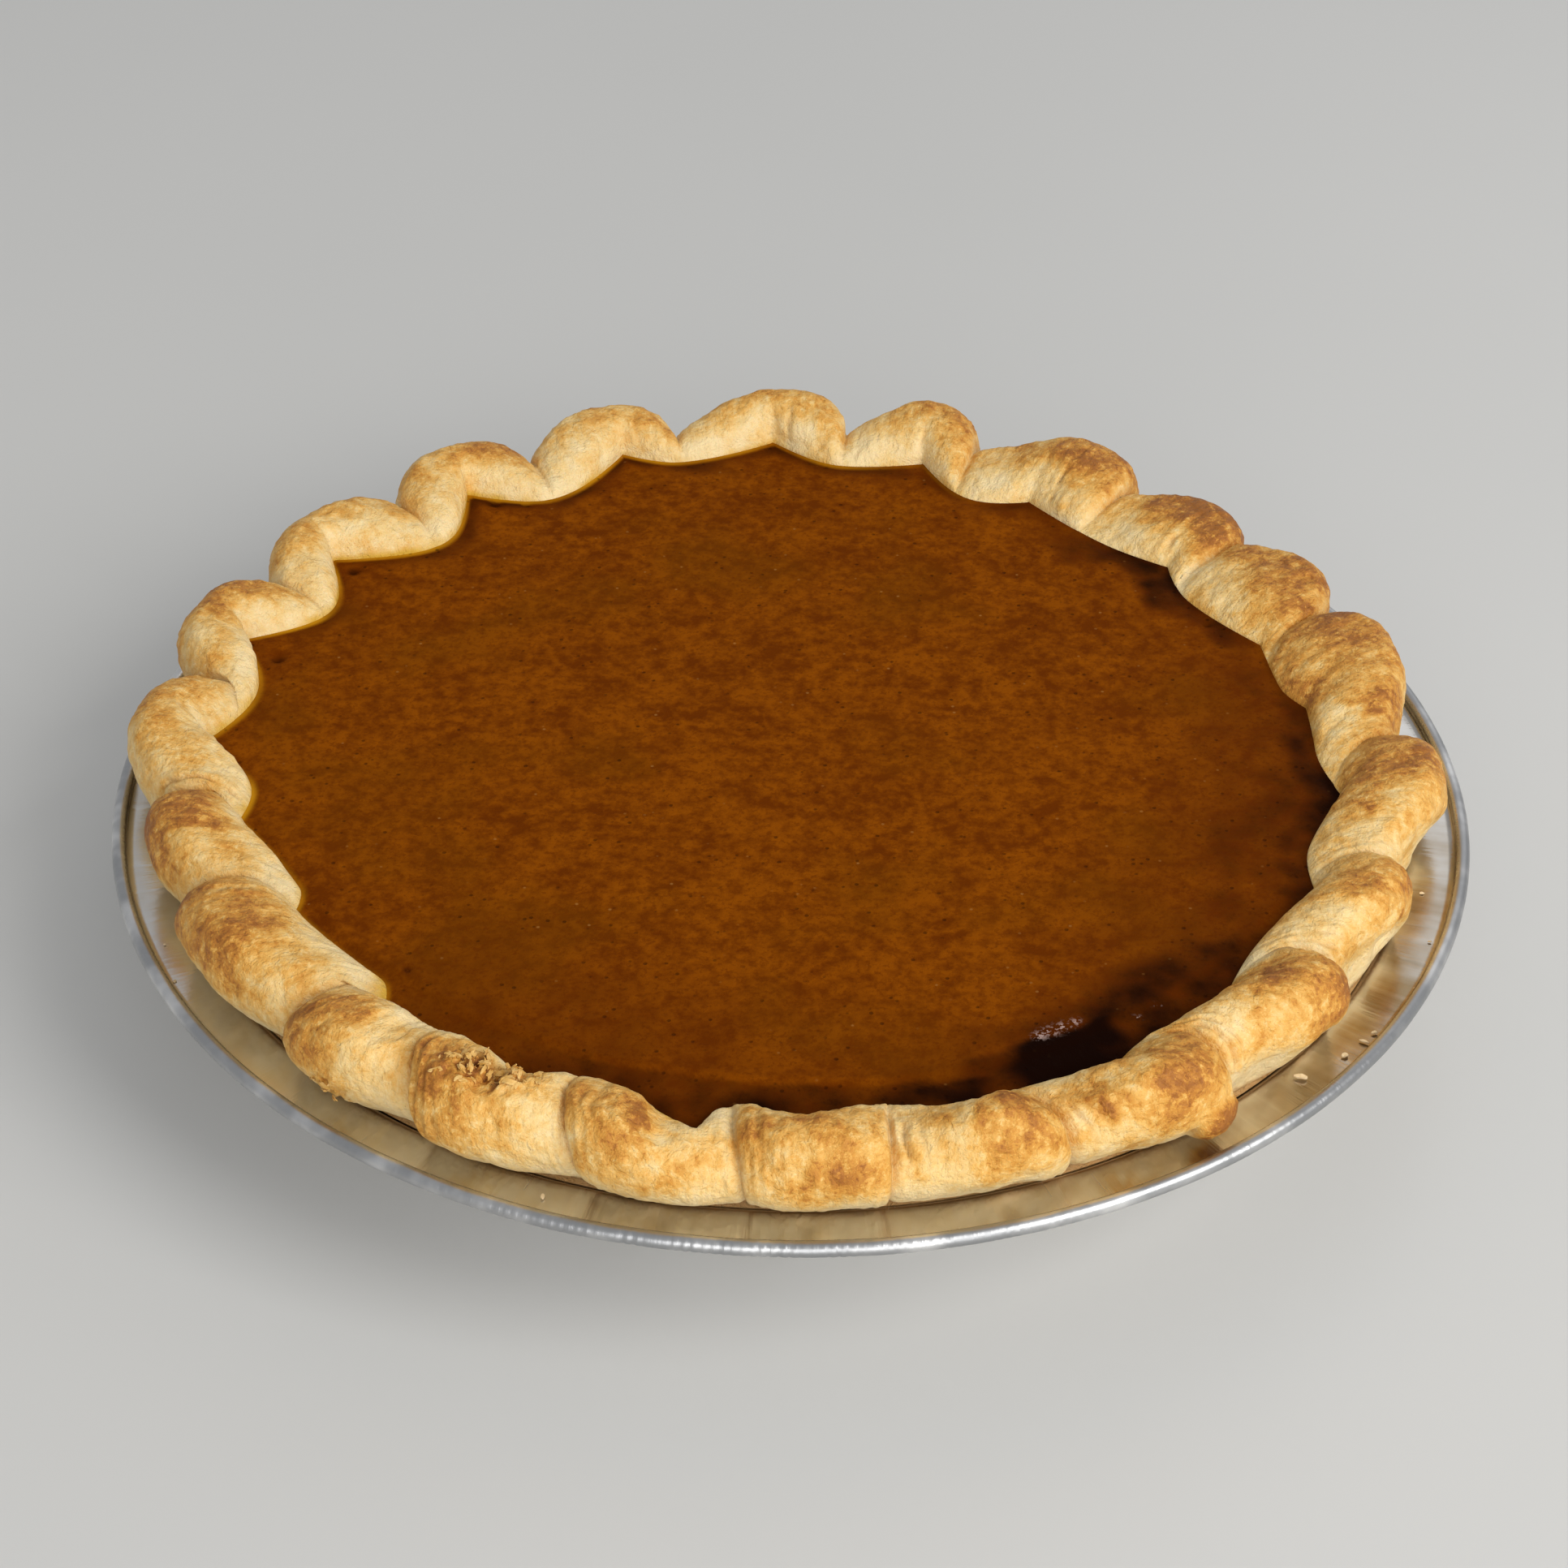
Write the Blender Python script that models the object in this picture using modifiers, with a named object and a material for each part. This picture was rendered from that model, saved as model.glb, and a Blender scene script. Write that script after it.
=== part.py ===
"""A round pumpkin pie baked in its own aluminium tin.

Three separate solids, all standing on the plane z = 0 with the tin's axis on Z:

* tin      a turned sheet-metal pan: flat base, flared wall, level flange and a rolled bead
* crust    the pastry shell that lines the tin, with its tall rim pinched into 22 flutes
* filling  the set custard, level inside the rim, whose edge follows every flute

The crust is a loft of ribs round the tin.  Each rib is a section of the shell and its rim, and
its reach, height and inner edge come from the flute it cuts through.
"""
import math

import bmesh
import bpy

MM = 0.001

# --- tin -------------------------------------------------------------------------------------
TIN_SHEET = 0.6 * MM            # thickness of the aluminium
TIN_BASE_RADIUS = 93.0 * MM     # outside of the flat base, where the wall would meet it
TIN_MOUTH_RADIUS = 115.0 * MM   # where the wall turns into the flange
TIN_FLANGE_TOP = 28.6 * MM      # upper face of the flange
TIN_FLANGE_RADIUS = 124.2 * MM  # where the flange runs into the bead
TIN_RIM_RADIUS = 127.0 * MM     # outside of the rolled bead
TIN_BEAD_RADIUS = 1.4 * MM      # radius of the rolled bead's round section
TIN_BASE_CORNER = 5.0 * MM      # bend between base and wall
TIN_MOUTH_CORNER = 2.0 * MM     # bend between wall and flange
TIN_STEPS = 56

# --- pastry and custard ----------------------------------------------------------------------
FIT = 0.3 * MM                  # clearance between touching pieces
SHELL_THICKNESS = 4.5 * MM      # pastry on the base and the wall of the tin
FILL_LEVEL = 41.5 * MM          # top of the custard
NECK_CROWN = 44.2 * MM          # top of the rim in the pinch between two flutes
NECK_REACH = 114.6 * MM         # outside of the rim in the pinch between two flutes
NECK_RIDGE = 107.5 * MM         # radius of the rim's highest line in a pinch
FLUTE_SHOULDER = 6.0 * MM       # from a flute's belly in to its crown
BELLY_SHARE = 0.60              # height of the belly, as a share of the rim's height
UNDERCUT = ((0.14, 0.34), (0.62, 0.66))  # shares outwards and upwards from the foot to the belly
EDGE_DEPTH = 1.0 * MM           # the inner face reaches its steepest this far under the custard
EDGE_DROP = 3.0 * MM            # depth of the custard's upright edge
EDGE_SPREAD = 0.8 * MM          # how far the inner face spreads outwards over that depth
CUSTARD_GAP = 0.5 * MM          # clearance between the custard's edge and the rim, across it
BELLY_SWELL = (2.4, 0.6)        # exponents of the belly's swelling between two pinches
CROWN_SWELL = (2.0, 0.8)        # exponents of the crown's swelling between two pinches
OUTER_STEPS = 3                 # steps of the rim's section from belly to crown
INNER_STEPS = 4                 # steps of the rim's section from crown to custard
FLUTE_FOOT = 1.4 * MM           # how far a flute's foot spreads over the flange
NECK_FOOT = 114.2 * MM          # outside of the rim's foot in a pinch
BULGE_MEAN = 6.0 * MM           # how far a pinch pushes the inner edge in, past the scallops
BULGE_SWING = 3.5 * MM          # how much that varies round the pie
BULGE_DEEPEST = 150.0           # bearing of the deepest pinches, in degrees
LEAN_RADIUS = 108.0 * MM        # radius at which the flutes' lean leaves a rib in place
LEAN_WIDTH = 15.0 * MM          # width of rim over which a lean is counted

# One row for each flute, by hand: bearing (degrees, anticlockwise from +X), the radius its belly
# reaches, the height of its crown, the radius of the scallop it leaves in the custard (all mm),
# and its lean (degrees anticlockwise from the inside to the outside of the rim).
FLUTES = (
    (8, 121.5, 47.6, 100.5, 3.0),
    (28, 120.5, 47.4, 98.5, 3.6),
    (43, 119.5, 47.0, 97.5, 2.8),
    (59, 121.0, 49.0, 100.5, 2.6),
    (75, 121.5, 49.4, 106.0, 1.8),
    (92, 122.0, 49.6, 110.0, 1.0),
    (112, 122.0, 49.4, 110.0, 0.4),
    (128, 122.5, 49.2, 110.5, -0.6),
    (146, 122.5, 48.6, 112.0, -1.0),
    (166, 124.0, 48.2, 112.5, -1.0),
    (185, 124.5, 48.0, 111.5, -3.0),
    (200, 121.0, 47.4, 108.0, -4.0),
    (215.5, 122.0, 47.6, 107.5, -2.2),
    (233, 122.5, 48.0, 109.0, -1.2),
    (246, 123.0, 48.6, 109.5, -0.5),
    (260.5, 122.0, 48.2, 110.5, 0.0),
    (272.5, 122.0, 48.0, 109.5, 1.0),
    (284.5, 122.0, 48.4, 109.5, 2.4),
    (300.5, 123.0, 48.2, 109.0, 4.0),
    (315, 122.0, 48.0, 106.5, 4.5),
    (333, 119.0, 47.4, 103.5, 4.5),
    (350, 122.0, 47.6, 101.5, 3.5),
)
RIBS_PER_FLUTE = 8
SHARP_ANGLE = math.radians(50.0)  # edges that turn more than this are shaded sharp

CRUST_COLOUR = (0.62, 0.38, 0.16)
FILLING_COLOUR = (0.20, 0.055, 0.006)
TIN_COLOUR = (0.72, 0.72, 0.73)


def clear_scene():
    """Remove every object of the scene."""
    for item in list(bpy.data.objects):
        bpy.data.objects.remove(item, do_unlink=True)


def make_material(name, colour, roughness, metallic=0.0):
    """Return a Principled material of one colour."""
    material = bpy.data.materials.new(name)
    material.use_nodes = True
    shader = material.node_tree.nodes["Principled BSDF"]
    shader.inputs["Base Color"].default_value = (*colour, 1.0)
    shader.inputs["Roughness"].default_value = roughness
    shader.inputs["Metallic"].default_value = metallic
    return material


def add_object(name, mesh, collection, material):
    """Put a mesh in the collection as a named object with its material."""
    mesh.materials.append(material)
    item = bpy.data.objects.new(name, mesh)
    collection.objects.link(item)
    return item


def arc(centre, radius, start, stop, count):
    """Points on an arc in the (r, z) plane, between two angles in degrees."""
    points = []
    for step in range(count):
        angle = math.radians(start + (stop - start) * step / (count - 1))
        points.append((centre[0] + radius * math.cos(angle), centre[1] + radius * math.sin(angle)))
    return points


# --- tin -------------------------------------------------------------------------------------

def wall_flare():
    """Angle of the tin's wall from the vertical, in radians."""
    return math.atan2(TIN_MOUTH_RADIUS - TIN_BASE_RADIUS, TIN_FLANGE_TOP)


def tin_wall_radius(height):
    """Radius of the wall's inner face at a height, apart from its two bends."""
    return TIN_MOUTH_RADIUS - (TIN_FLANGE_TOP - height) * math.tan(wall_flare())


def bend_inside(offset):
    """The base bend and the mouth bend of the pan's inner face, moved inwards by an offset."""
    flare = wall_flare()
    floor = TIN_SHEET + offset
    flange = TIN_FLANGE_TOP + offset
    shift = offset / math.cos(flare)
    base_set = TIN_BASE_CORNER * math.tan((math.pi / 2 - flare) / 2)
    mouth_set = TIN_MOUTH_CORNER * math.tan((math.pi / 2 - flare) / 2)
    base_centre = (tin_wall_radius(floor) - shift - base_set, floor + TIN_BASE_CORNER)
    mouth_centre = (tin_wall_radius(flange) - shift + mouth_set, flange - TIN_MOUTH_CORNER)
    lean = math.degrees(flare)
    base = arc(base_centre, TIN_BASE_CORNER, -90, -lean, 3)
    mouth = arc(mouth_centre, TIN_MOUTH_CORNER, 180 - lean, 90, 3)
    return base, mouth


def tin_profile():
    """The pan's section from the axis inside, over the bead, to the axis underneath."""
    base_in, mouth_in = bend_inside(0.0)
    base_out, mouth_out = bend_inside(-TIN_SHEET)
    bead = (TIN_RIM_RADIUS - TIN_BEAD_RADIUS, TIN_FLANGE_TOP + TIN_BEAD_RADIUS)
    points = [(0.0, TIN_SHEET)]
    points += base_in
    points += mouth_in
    points.append((TIN_FLANGE_RADIUS, TIN_FLANGE_TOP))
    points += arc(bead, TIN_BEAD_RADIUS, 225, -90, 8)
    points.append((TIN_FLANGE_RADIUS, TIN_FLANGE_TOP - TIN_SHEET))
    points += reversed(mouth_out)
    points += reversed(base_out)
    points.append((0.0, 0.0))
    return points


def build_tin(collection):
    """Turn the pan's section round the axis."""
    mesh = bpy.data.meshes.new("tin")
    profile = tin_profile()
    corners = [(radius, 0.0, height) for radius, height in profile]
    edges = [(index, index + 1) for index in range(len(corners) - 1)]
    mesh.from_pydata(corners, edges, [])
    tin = add_object("tin", mesh, collection, make_material("tin_aluminium", TIN_COLOUR, 0.32, 1.0))
    screw = tin.modifiers.new("turned", "SCREW")
    screw.axis = "Z"
    screw.angle = math.tau
    screw.steps = TIN_STEPS
    screw.render_steps = TIN_STEPS
    screw.use_merge_vertices = True
    screw.merge_threshold = 0.00001
    screw.use_smooth_shade = True
    return tin


# --- flutes ----------------------------------------------------------------------------------

def swell(across, exponents):
    """Share of a flute's swelling left at a place between its middle (0) and its pinch (1)."""
    return (1 - across ** exponents[0]) ** exponents[1]


class Rib:
    """One rib of the crust: where it stands and how its flute shapes it."""

    def __init__(self, bearing, across, flute, neighbour):
        """across is 0 on the flute's crown and 1 in the pinch shared with the neighbour."""
        _, reach, crown, scallop, lean = flute
        depth = BULGE_MEAN + BULGE_SWING * math.cos(math.radians(bearing - BULGE_DEEPEST))
        pinch_edge = (scallop + neighbour[3]) / 2 * MM - depth
        plump = swell(across, BELLY_SWELL)
        arch = swell(across, CROWN_SWELL)
        cusp = 1 - swell(1 - across, CROWN_SWELL)
        self.bearing = bearing
        self.lean = lean + (neighbour[4] - lean) * across / 2
        self.reach = NECK_REACH + (reach * MM - NECK_REACH) * plump
        self.crown = NECK_CROWN + (crown * MM - NECK_CROWN) * arch
        self.ridge = NECK_RIDGE + (reach * MM - FLUTE_SHOULDER - NECK_RIDGE) * arch
        self.foot = NECK_FOOT + FLUTE_FOOT * plump
        self.edge = pinch_edge + (scallop * MM - pinch_edge) * cusp

    def place(self, radius, height):
        """World position of a point of the rib's section, with the flutes' lean."""
        angle = math.radians(self.bearing + self.lean * (radius - LEAN_RADIUS) / LEAN_WIDTH)
        return (radius * math.cos(angle), radius * math.sin(angle), height)


def all_ribs():
    """Every rib of the crust in order, with one on each crown and one in each pinch."""
    ribs = []
    half = RIBS_PER_FLUTE // 2
    for index, flute in enumerate(FLUTES):
        after = FLUTES[(index + 1) % len(FLUTES)]
        before = FLUTES[index - 1]
        to_after = ((after[0] - flute[0]) % 360) / 2
        to_before = ((flute[0] - before[0]) % 360) / 2
        for step in range(-half, half):
            across = abs(step) / half
            span = to_after if step > 0 else to_before
            neighbour = after if step > 0 else before
            ribs.append(Rib(flute[0] + span * step / half, across, flute, neighbour))
    return ribs


def rim_section(rib):
    """The rim's section over the flange: foot, belly, crown and inner face to the custard."""
    foot_level = TIN_FLANGE_TOP + FIT
    belly = foot_level + BELLY_SHARE * (rib.crown - foot_level)
    points = [(rib.foot, foot_level)]
    for out, up in UNDERCUT:
        radius = rib.foot + out * (rib.reach - rib.foot)
        points.append((radius, foot_level + up * (belly - foot_level)))
    for step in range(OUTER_STEPS):
        angle = math.radians(90 * step / OUTER_STEPS)
        out = (rib.reach - rib.ridge) * math.cos(angle)
        points.append((rib.ridge + out, belly + (rib.crown - belly) * math.sin(angle)))
    base = FILL_LEVEL - EDGE_DEPTH
    last = math.asin(EDGE_DEPTH / (rib.crown - base))
    width = (rib.ridge - rib.edge) / math.cos(last)
    for step in range(INNER_STEPS + 1):
        angle = math.pi / 2 - (math.pi / 2 - last) * step / INNER_STEPS
        drop = (rib.crown - base) * math.sin(angle)
        points.append((rib.ridge - width * math.cos(angle), base + drop))
    return points


def shell_inner_corner(gap):
    """Where the inside of the pastry shell turns from its wall to its floor."""
    floor = TIN_SHEET + FIT + SHELL_THICKNESS + gap
    radius = tin_wall_radius(floor) - SHELL_THICKNESS / math.cos(wall_flare()) - gap
    return radius, floor


def crust_section(rib):
    """A whole section of the crust, from under its floor to the top of its floor."""
    base, mouth = bend_inside(FIT)
    points = list(base)
    points.append(mouth[0])
    points.append((min(mouth[1][0], rib.foot - FIT), mouth[1][1]))
    points += rim_section(rib)
    points.append((rib.edge + EDGE_SPREAD, FILL_LEVEL - EDGE_DROP))
    points.append(shell_inner_corner(0.0))
    return points


def filling_section(rib):
    """A section of the custard, from its top edge to its bottom corner."""
    points = [(rib.edge - CUSTARD_GAP, FILL_LEVEL)]
    points.append((rib.edge + EDGE_SPREAD - CUSTARD_GAP, FILL_LEVEL - EDGE_DROP))
    points.append(shell_inner_corner(FIT))
    return points


def loft(name, ribs, section, start, end):
    """Close the ribs' sections into one skin, fanned to a point on the axis at each end.

    Every four-sided gap is split along the same diagonal, so that two lofts lie face to face.
    """
    shape = bmesh.new()
    rings = []
    for rib in ribs:
        rings.append([shape.verts.new(rib.place(*point)) for point in section(rib)])
    first = shape.verts.new((0.0, 0.0, start))
    last = shape.verts.new((0.0, 0.0, end))
    for index, ring in enumerate(rings):
        following = rings[(index + 1) % len(rings)]
        shape.faces.new((first, following[0], ring[0]))
        shape.faces.new((last, ring[-1], following[-1]))
        for level in range(len(ring) - 1):
            shape.faces.new((ring[level], following[level], following[level + 1]))
            shape.faces.new((ring[level], following[level + 1], ring[level + 1]))
    bmesh.ops.recalc_face_normals(shape, faces=shape.faces)
    mesh = bpy.data.meshes.new(name)
    shape.to_mesh(mesh)
    shape.free()
    mesh.shade_smooth()
    mesh.set_sharp_from_angle(angle=SHARP_ANGLE)
    return mesh


def build_crust(collection, ribs):
    """The pastry: a shell in the tin with a fluted rim."""
    underside = TIN_SHEET + FIT
    floor = underside + SHELL_THICKNESS
    mesh = loft("crust", ribs, crust_section, underside, floor)
    return add_object("crust", mesh, collection, make_material("crust_pastry", CRUST_COLOUR, 0.62))


def build_filling(collection, ribs):
    """The custard that fills the shell."""
    floor = TIN_SHEET + FIT + SHELL_THICKNESS + FIT
    mesh = loft("filling", ribs, filling_section, FILL_LEVEL, floor)
    return add_object("filling", mesh, collection, make_material("custard", FILLING_COLOUR, 0.35))


def main():
    """Build the three pieces in their own collection."""
    clear_scene()
    collection = bpy.data.collections.new("pumpkin_pie")
    bpy.context.scene.collection.children.link(collection)
    ribs = all_ribs()
    build_tin(collection)
    build_crust(collection, ribs)
    build_filling(collection, ribs)


main()
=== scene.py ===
"""The looks of a pumpkin pie in its own aluminium tin.

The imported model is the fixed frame.  Its three solids are replaced, piece for piece, by fine
surfaces of the same size and place: a turned tin with a crimped bead, a hand-fluted crust with
blisters, pleats and torn layers, and a custard with its skin, pits and settled edge.  Flakes and
crumbs are loose pieces of their own.
"""
import itertools
import logging
import math
from dataclasses import dataclass, field
from enum import Enum
from typing import Sequence, Union

import bpy
import numpy as np
from mathutils import Matrix, Vector


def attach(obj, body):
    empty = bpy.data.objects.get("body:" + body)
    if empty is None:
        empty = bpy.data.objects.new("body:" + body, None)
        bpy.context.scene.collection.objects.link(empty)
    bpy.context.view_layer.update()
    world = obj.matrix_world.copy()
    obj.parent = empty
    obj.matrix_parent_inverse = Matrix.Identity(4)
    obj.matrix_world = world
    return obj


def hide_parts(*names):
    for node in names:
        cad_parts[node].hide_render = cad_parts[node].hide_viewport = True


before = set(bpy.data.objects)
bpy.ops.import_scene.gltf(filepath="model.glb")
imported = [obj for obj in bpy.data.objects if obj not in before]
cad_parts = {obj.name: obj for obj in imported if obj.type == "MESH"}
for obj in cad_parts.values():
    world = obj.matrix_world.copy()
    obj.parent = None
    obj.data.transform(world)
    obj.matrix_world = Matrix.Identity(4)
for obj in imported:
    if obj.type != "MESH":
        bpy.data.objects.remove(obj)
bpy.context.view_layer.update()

MM = 0.001
BODY = "root"
LOG = logging.getLogger("pumpkin_pie")

Array = np.ndarray
Colour = tuple[float, float, float]
Layers = tuple[tuple[int, float, float], ...]


class Slot(Enum):
    """Material slots of the record, by the piece they finish; no piece here is given one."""

    TIN = "tin"
    CRUST = "crust"
    FILLING = "filling"


class Grain(Enum):
    """Names of the values stored on the vertices for the shaders."""

    # Browning of the crust, with painted shade and light added.
    BAKE_AND_SHADE = "bake"
    SOAK = "soak"
    # Painted shade in creases, pleats, tears, beside the tin's bead and under the crust's edge.
    HOLLOW_SHADE = "fold"
    FLOW = "flow"
    SHADE = "shade"
    GLINT = "glint"


# --- numbers and points ---

def smooth(value: Array, low: float, high: float) -> Array:
    """Rise smoothly from 0 at low to 1 at high, which may be below low for a fall."""
    share = unit((value - low) / (high - low))
    return share * share * (3.0 - 2.0 * share)


def unit(value: Array) -> Array:
    """The values kept between 0 and 1."""
    return np.clip(value, 0.0, 1.0)


def bell(offset: Array, width: float) -> Array:
    """1 where the offset is nothing, falling away over a width to either side."""
    return np.exp(-(offset / width) ** 2)


def turn(from_bearing: Array, to_bearing: float) -> Array:
    """Signed angle from one bearing to another, in degrees between -180 and 180."""
    return (np.asarray(from_bearing) - to_bearing + 180.0) % 360.0 - 180.0


def polar(bearing: float, radius: float, height: float) -> Vector:
    """A point from its bearing in degrees, its radius and its height."""
    angle = math.radians(bearing)
    return Vector((radius * math.cos(angle), radius * math.sin(angle), height))


def round_axis(radius: Array, angle: Array, height: Array) -> Array:
    """Points from radii, angles in radians and heights, which broadcast together."""
    parts = np.broadcast_arrays(radius * np.cos(angle), radius * np.sin(angle), height)
    return np.stack(parts, axis=-1)


def upright(angle: Array, items: Sequence[tuple[Array, float]]) -> Array:
    """Columns of points at a column of angles, one for each pair of radius and height."""
    return np.concatenate([round_axis(radius, angle, height) for radius, height in items], axis=1)


def rows(kind: type, *values: tuple) -> tuple:
    """Items of one kind, each from a row of its values."""
    return tuple(kind(*row) for row in values)


class Noise:
    """Smooth gradient noise over arrays of points, the same on every run."""

    def __init__(self, seed: int) -> None:
        """Draw the lattice.

        Args:
            seed: Any whole number; each gives its own noise.
        """
        draw = np.random.default_rng(seed)
        order = draw.permutation(256)
        self.order = np.concatenate([order, order])
        slopes = draw.normal(size=(256, 3))
        self.slopes = slopes / np.linalg.norm(slopes, axis=1)[:, None]

    def __call__(self, points: Array, size: float) -> Array:
        """Noise at some points.

        Args:
            points: Positions, with the last axis x, y, z.
            size: Width of one lump, in millimetres.

        Returns:
            Values between about -1 and 1, one for each point.
        """
        scaled = np.asarray(points).reshape(-1, 3) / (size * MM)
        cell = np.floor(scaled).astype(int)
        inside = scaled - cell
        fade = inside ** 3 * (inside * (inside * 6.0 - 15.0) + 10.0)
        total = np.zeros(len(scaled))
        for corner in itertools.product((0, 1), repeat=3):
            node = (cell + corner) & 255
            index = self.order[self.order[self.order[node[:, 0]] + node[:, 1]] + node[:, 2]]
            weight = np.prod(np.where(corner, fade, 1.0 - fade), axis=1)
            total += weight * (self.slopes[index] * (inside - corner)).sum(axis=1)
        return (1.6 * total).reshape(np.asarray(points).shape[:-1])

    def layered(self, points: Array, size: float, layers: int) -> Array:
        """Noise with finer layers added, each half as wide and half as strong."""
        return sum(self(points, size / 2 ** n) / 2 ** n for n in range(layers))

    def blistered(self, points: Array, size: float) -> Array:
        """Rounded blisters with sharp valleys between them, from about -0.5 to 0.5."""
        return 0.5 - np.abs(self(points, size)) * 1.7


def lumps(points: Array, layers: Layers) -> Array:
    """Heights summed from layers of noise: a seed, and a width and a height in millimetres."""
    return sum(Noise(seed)(points, size) * height * MM for seed, size, height in layers)


# --- meshes ---

def surface_normals(grid: Array) -> Array:
    """Unit normals of a grid of points that closes on itself along its first axis.

    Args:
        grid: Points as rows round the pie and columns along the section.

    Returns:
        One normal for each point.
    """
    around = np.roll(grid, -1, axis=0) - np.roll(grid, 1, axis=0)
    along = np.gradient(grid, axis=1)
    normal = np.cross(around, along)
    return normal / np.maximum(np.linalg.norm(normal, axis=2), 1e-12)[:, :, None]


def ring_mesh(name: str, grid: Array, first: Vector, last: Vector) -> bpy.types.Mesh:
    """A closed skin of rows round the axis, fanned to a point at each end of the section.

    Args:
        name: The mesh's name.
        grid: Points as rows round the pie and columns along the section.
        first: The point that closes the section's first column.
        last: The point that closes its last column.

    Returns:
        The mesh, with smooth faces.
    """
    around, columns = grid.shape[:2]
    points = np.concatenate([grid.reshape(-1, 3), [first, last]])
    index = np.arange(around * columns).reshape(around, columns)
    after = np.roll(index, -1, axis=0)
    quads = np.stack([index[:, :-1], after[:, :-1], after[:, 1:], index[:, 1:]], axis=-1)
    start = np.full(around, around * columns)
    fan_in = np.stack([start, after[:, 0], index[:, 0]], axis=-1)
    fan_out = np.stack([start + 1, index[:, -1], after[:, -1]], axis=-1)
    loops = np.concatenate([quads.reshape(-1), fan_in.reshape(-1), fan_out.reshape(-1)])
    sizes = np.concatenate([np.full(quads.size // 4, 4), np.full(2 * around, 3)])
    mesh = bpy.data.meshes.new(name)
    mesh.vertices.add(len(points))
    mesh.vertices.foreach_set("co", points.astype(np.float32).reshape(-1))
    mesh.loops.add(len(loops))
    mesh.loops.foreach_set("vertex_index", loops.astype(np.int32))
    mesh.polygons.add(len(sizes))
    mesh.polygons.foreach_set("loop_start", (np.cumsum(sizes) - sizes).astype(np.int32))
    mesh.update(calc_edges=True)
    mesh.validate()
    mesh.shade_smooth()
    return mesh


def store(mesh: bpy.types.Mesh, grain: Grain, values: Array) -> None:
    """Keep one number, or one vector, on each vertex of a ring mesh.

    Args:
        mesh: The mesh; its two end points repeat the grid's first value.
        grain: What the values are called.
        values: A grid of numbers, or of vectors.
    """
    vector = values.ndim == 3
    flat = values.reshape(-1, 3) if vector else values.reshape(-1)
    flat = np.concatenate([flat, flat[:1], flat[:1]])
    kind, key = ("FLOAT_VECTOR", "vector") if vector else ("FLOAT", "value")
    layer = mesh.attributes.new(grain.value, kind, "POINT")
    layer.data.foreach_set(key, flat.astype(np.float32).reshape(-1))


def place_piece(name: str, mesh: bpy.types.Mesh, material: bpy.types.Material,
                stands_for: str = "") -> bpy.types.Object:
    """Make a piece of the pie from a mesh and fix it to the frame.

    Args:
        name: The piece's name.
        mesh: Its mesh, in the frame's own place.
        material: Its finish.
        stands_for: The solid it replaces, if any.

    Returns:
        The new object.
    """
    mesh.materials.append(material)
    piece = bpy.data.objects.new(name, mesh)
    bpy.context.scene.collection.objects.link(piece)
    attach(piece, BODY)
    if stands_for:
        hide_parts(stands_for)
    LOG.info("%s: %d faces", name, len(mesh.polygons))
    return piece


# --- shaders ---

Input = Union["Value", bpy.types.NodeSocket, float, Sequence[float]]


class Value:
    """A number in a shader; Python's arithmetic on it adds the Math nodes."""

    def __init__(self, kit: "NodeKit", socket: bpy.types.NodeSocket) -> None:
        self.kit = kit
        self.socket = socket

    def _math(self, operation: str, first: Input, second: Input) -> "Value":
        """Add one Math node and return its result."""
        return self.kit.value("ShaderNodeMath", {"operation": operation}, {0: first, 1: second})

    def __add__(self, other: Input) -> "Value":
        """The sum."""
        return self._math("ADD", self, other)

    def __sub__(self, other: Input) -> "Value":
        """The difference."""
        return self._math("SUBTRACT", self, other)

    def __rsub__(self, other: Input) -> "Value":
        """The difference, with the number first."""
        return self._math("SUBTRACT", other, self)

    def __mul__(self, other: Input) -> "Value":
        """The product."""
        return self._math("MULTIPLY", self, other)

    __radd__ = __add__
    __rmul__ = __mul__

    def rise(self, low: float, high: float) -> "Value":
        """A smooth rise from 0 at low to 1 at high."""
        return self.kit.value("ShaderNodeMapRange", {"interpolation_type": "SMOOTHSTEP"},
                              {"Value": self, "From Min": low, "From Max": high})

    def clamp(self) -> "Value":
        """The number kept between 0 and 1."""
        return self.kit.value("ShaderNodeClamp", {}, {"Value": self})


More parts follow.
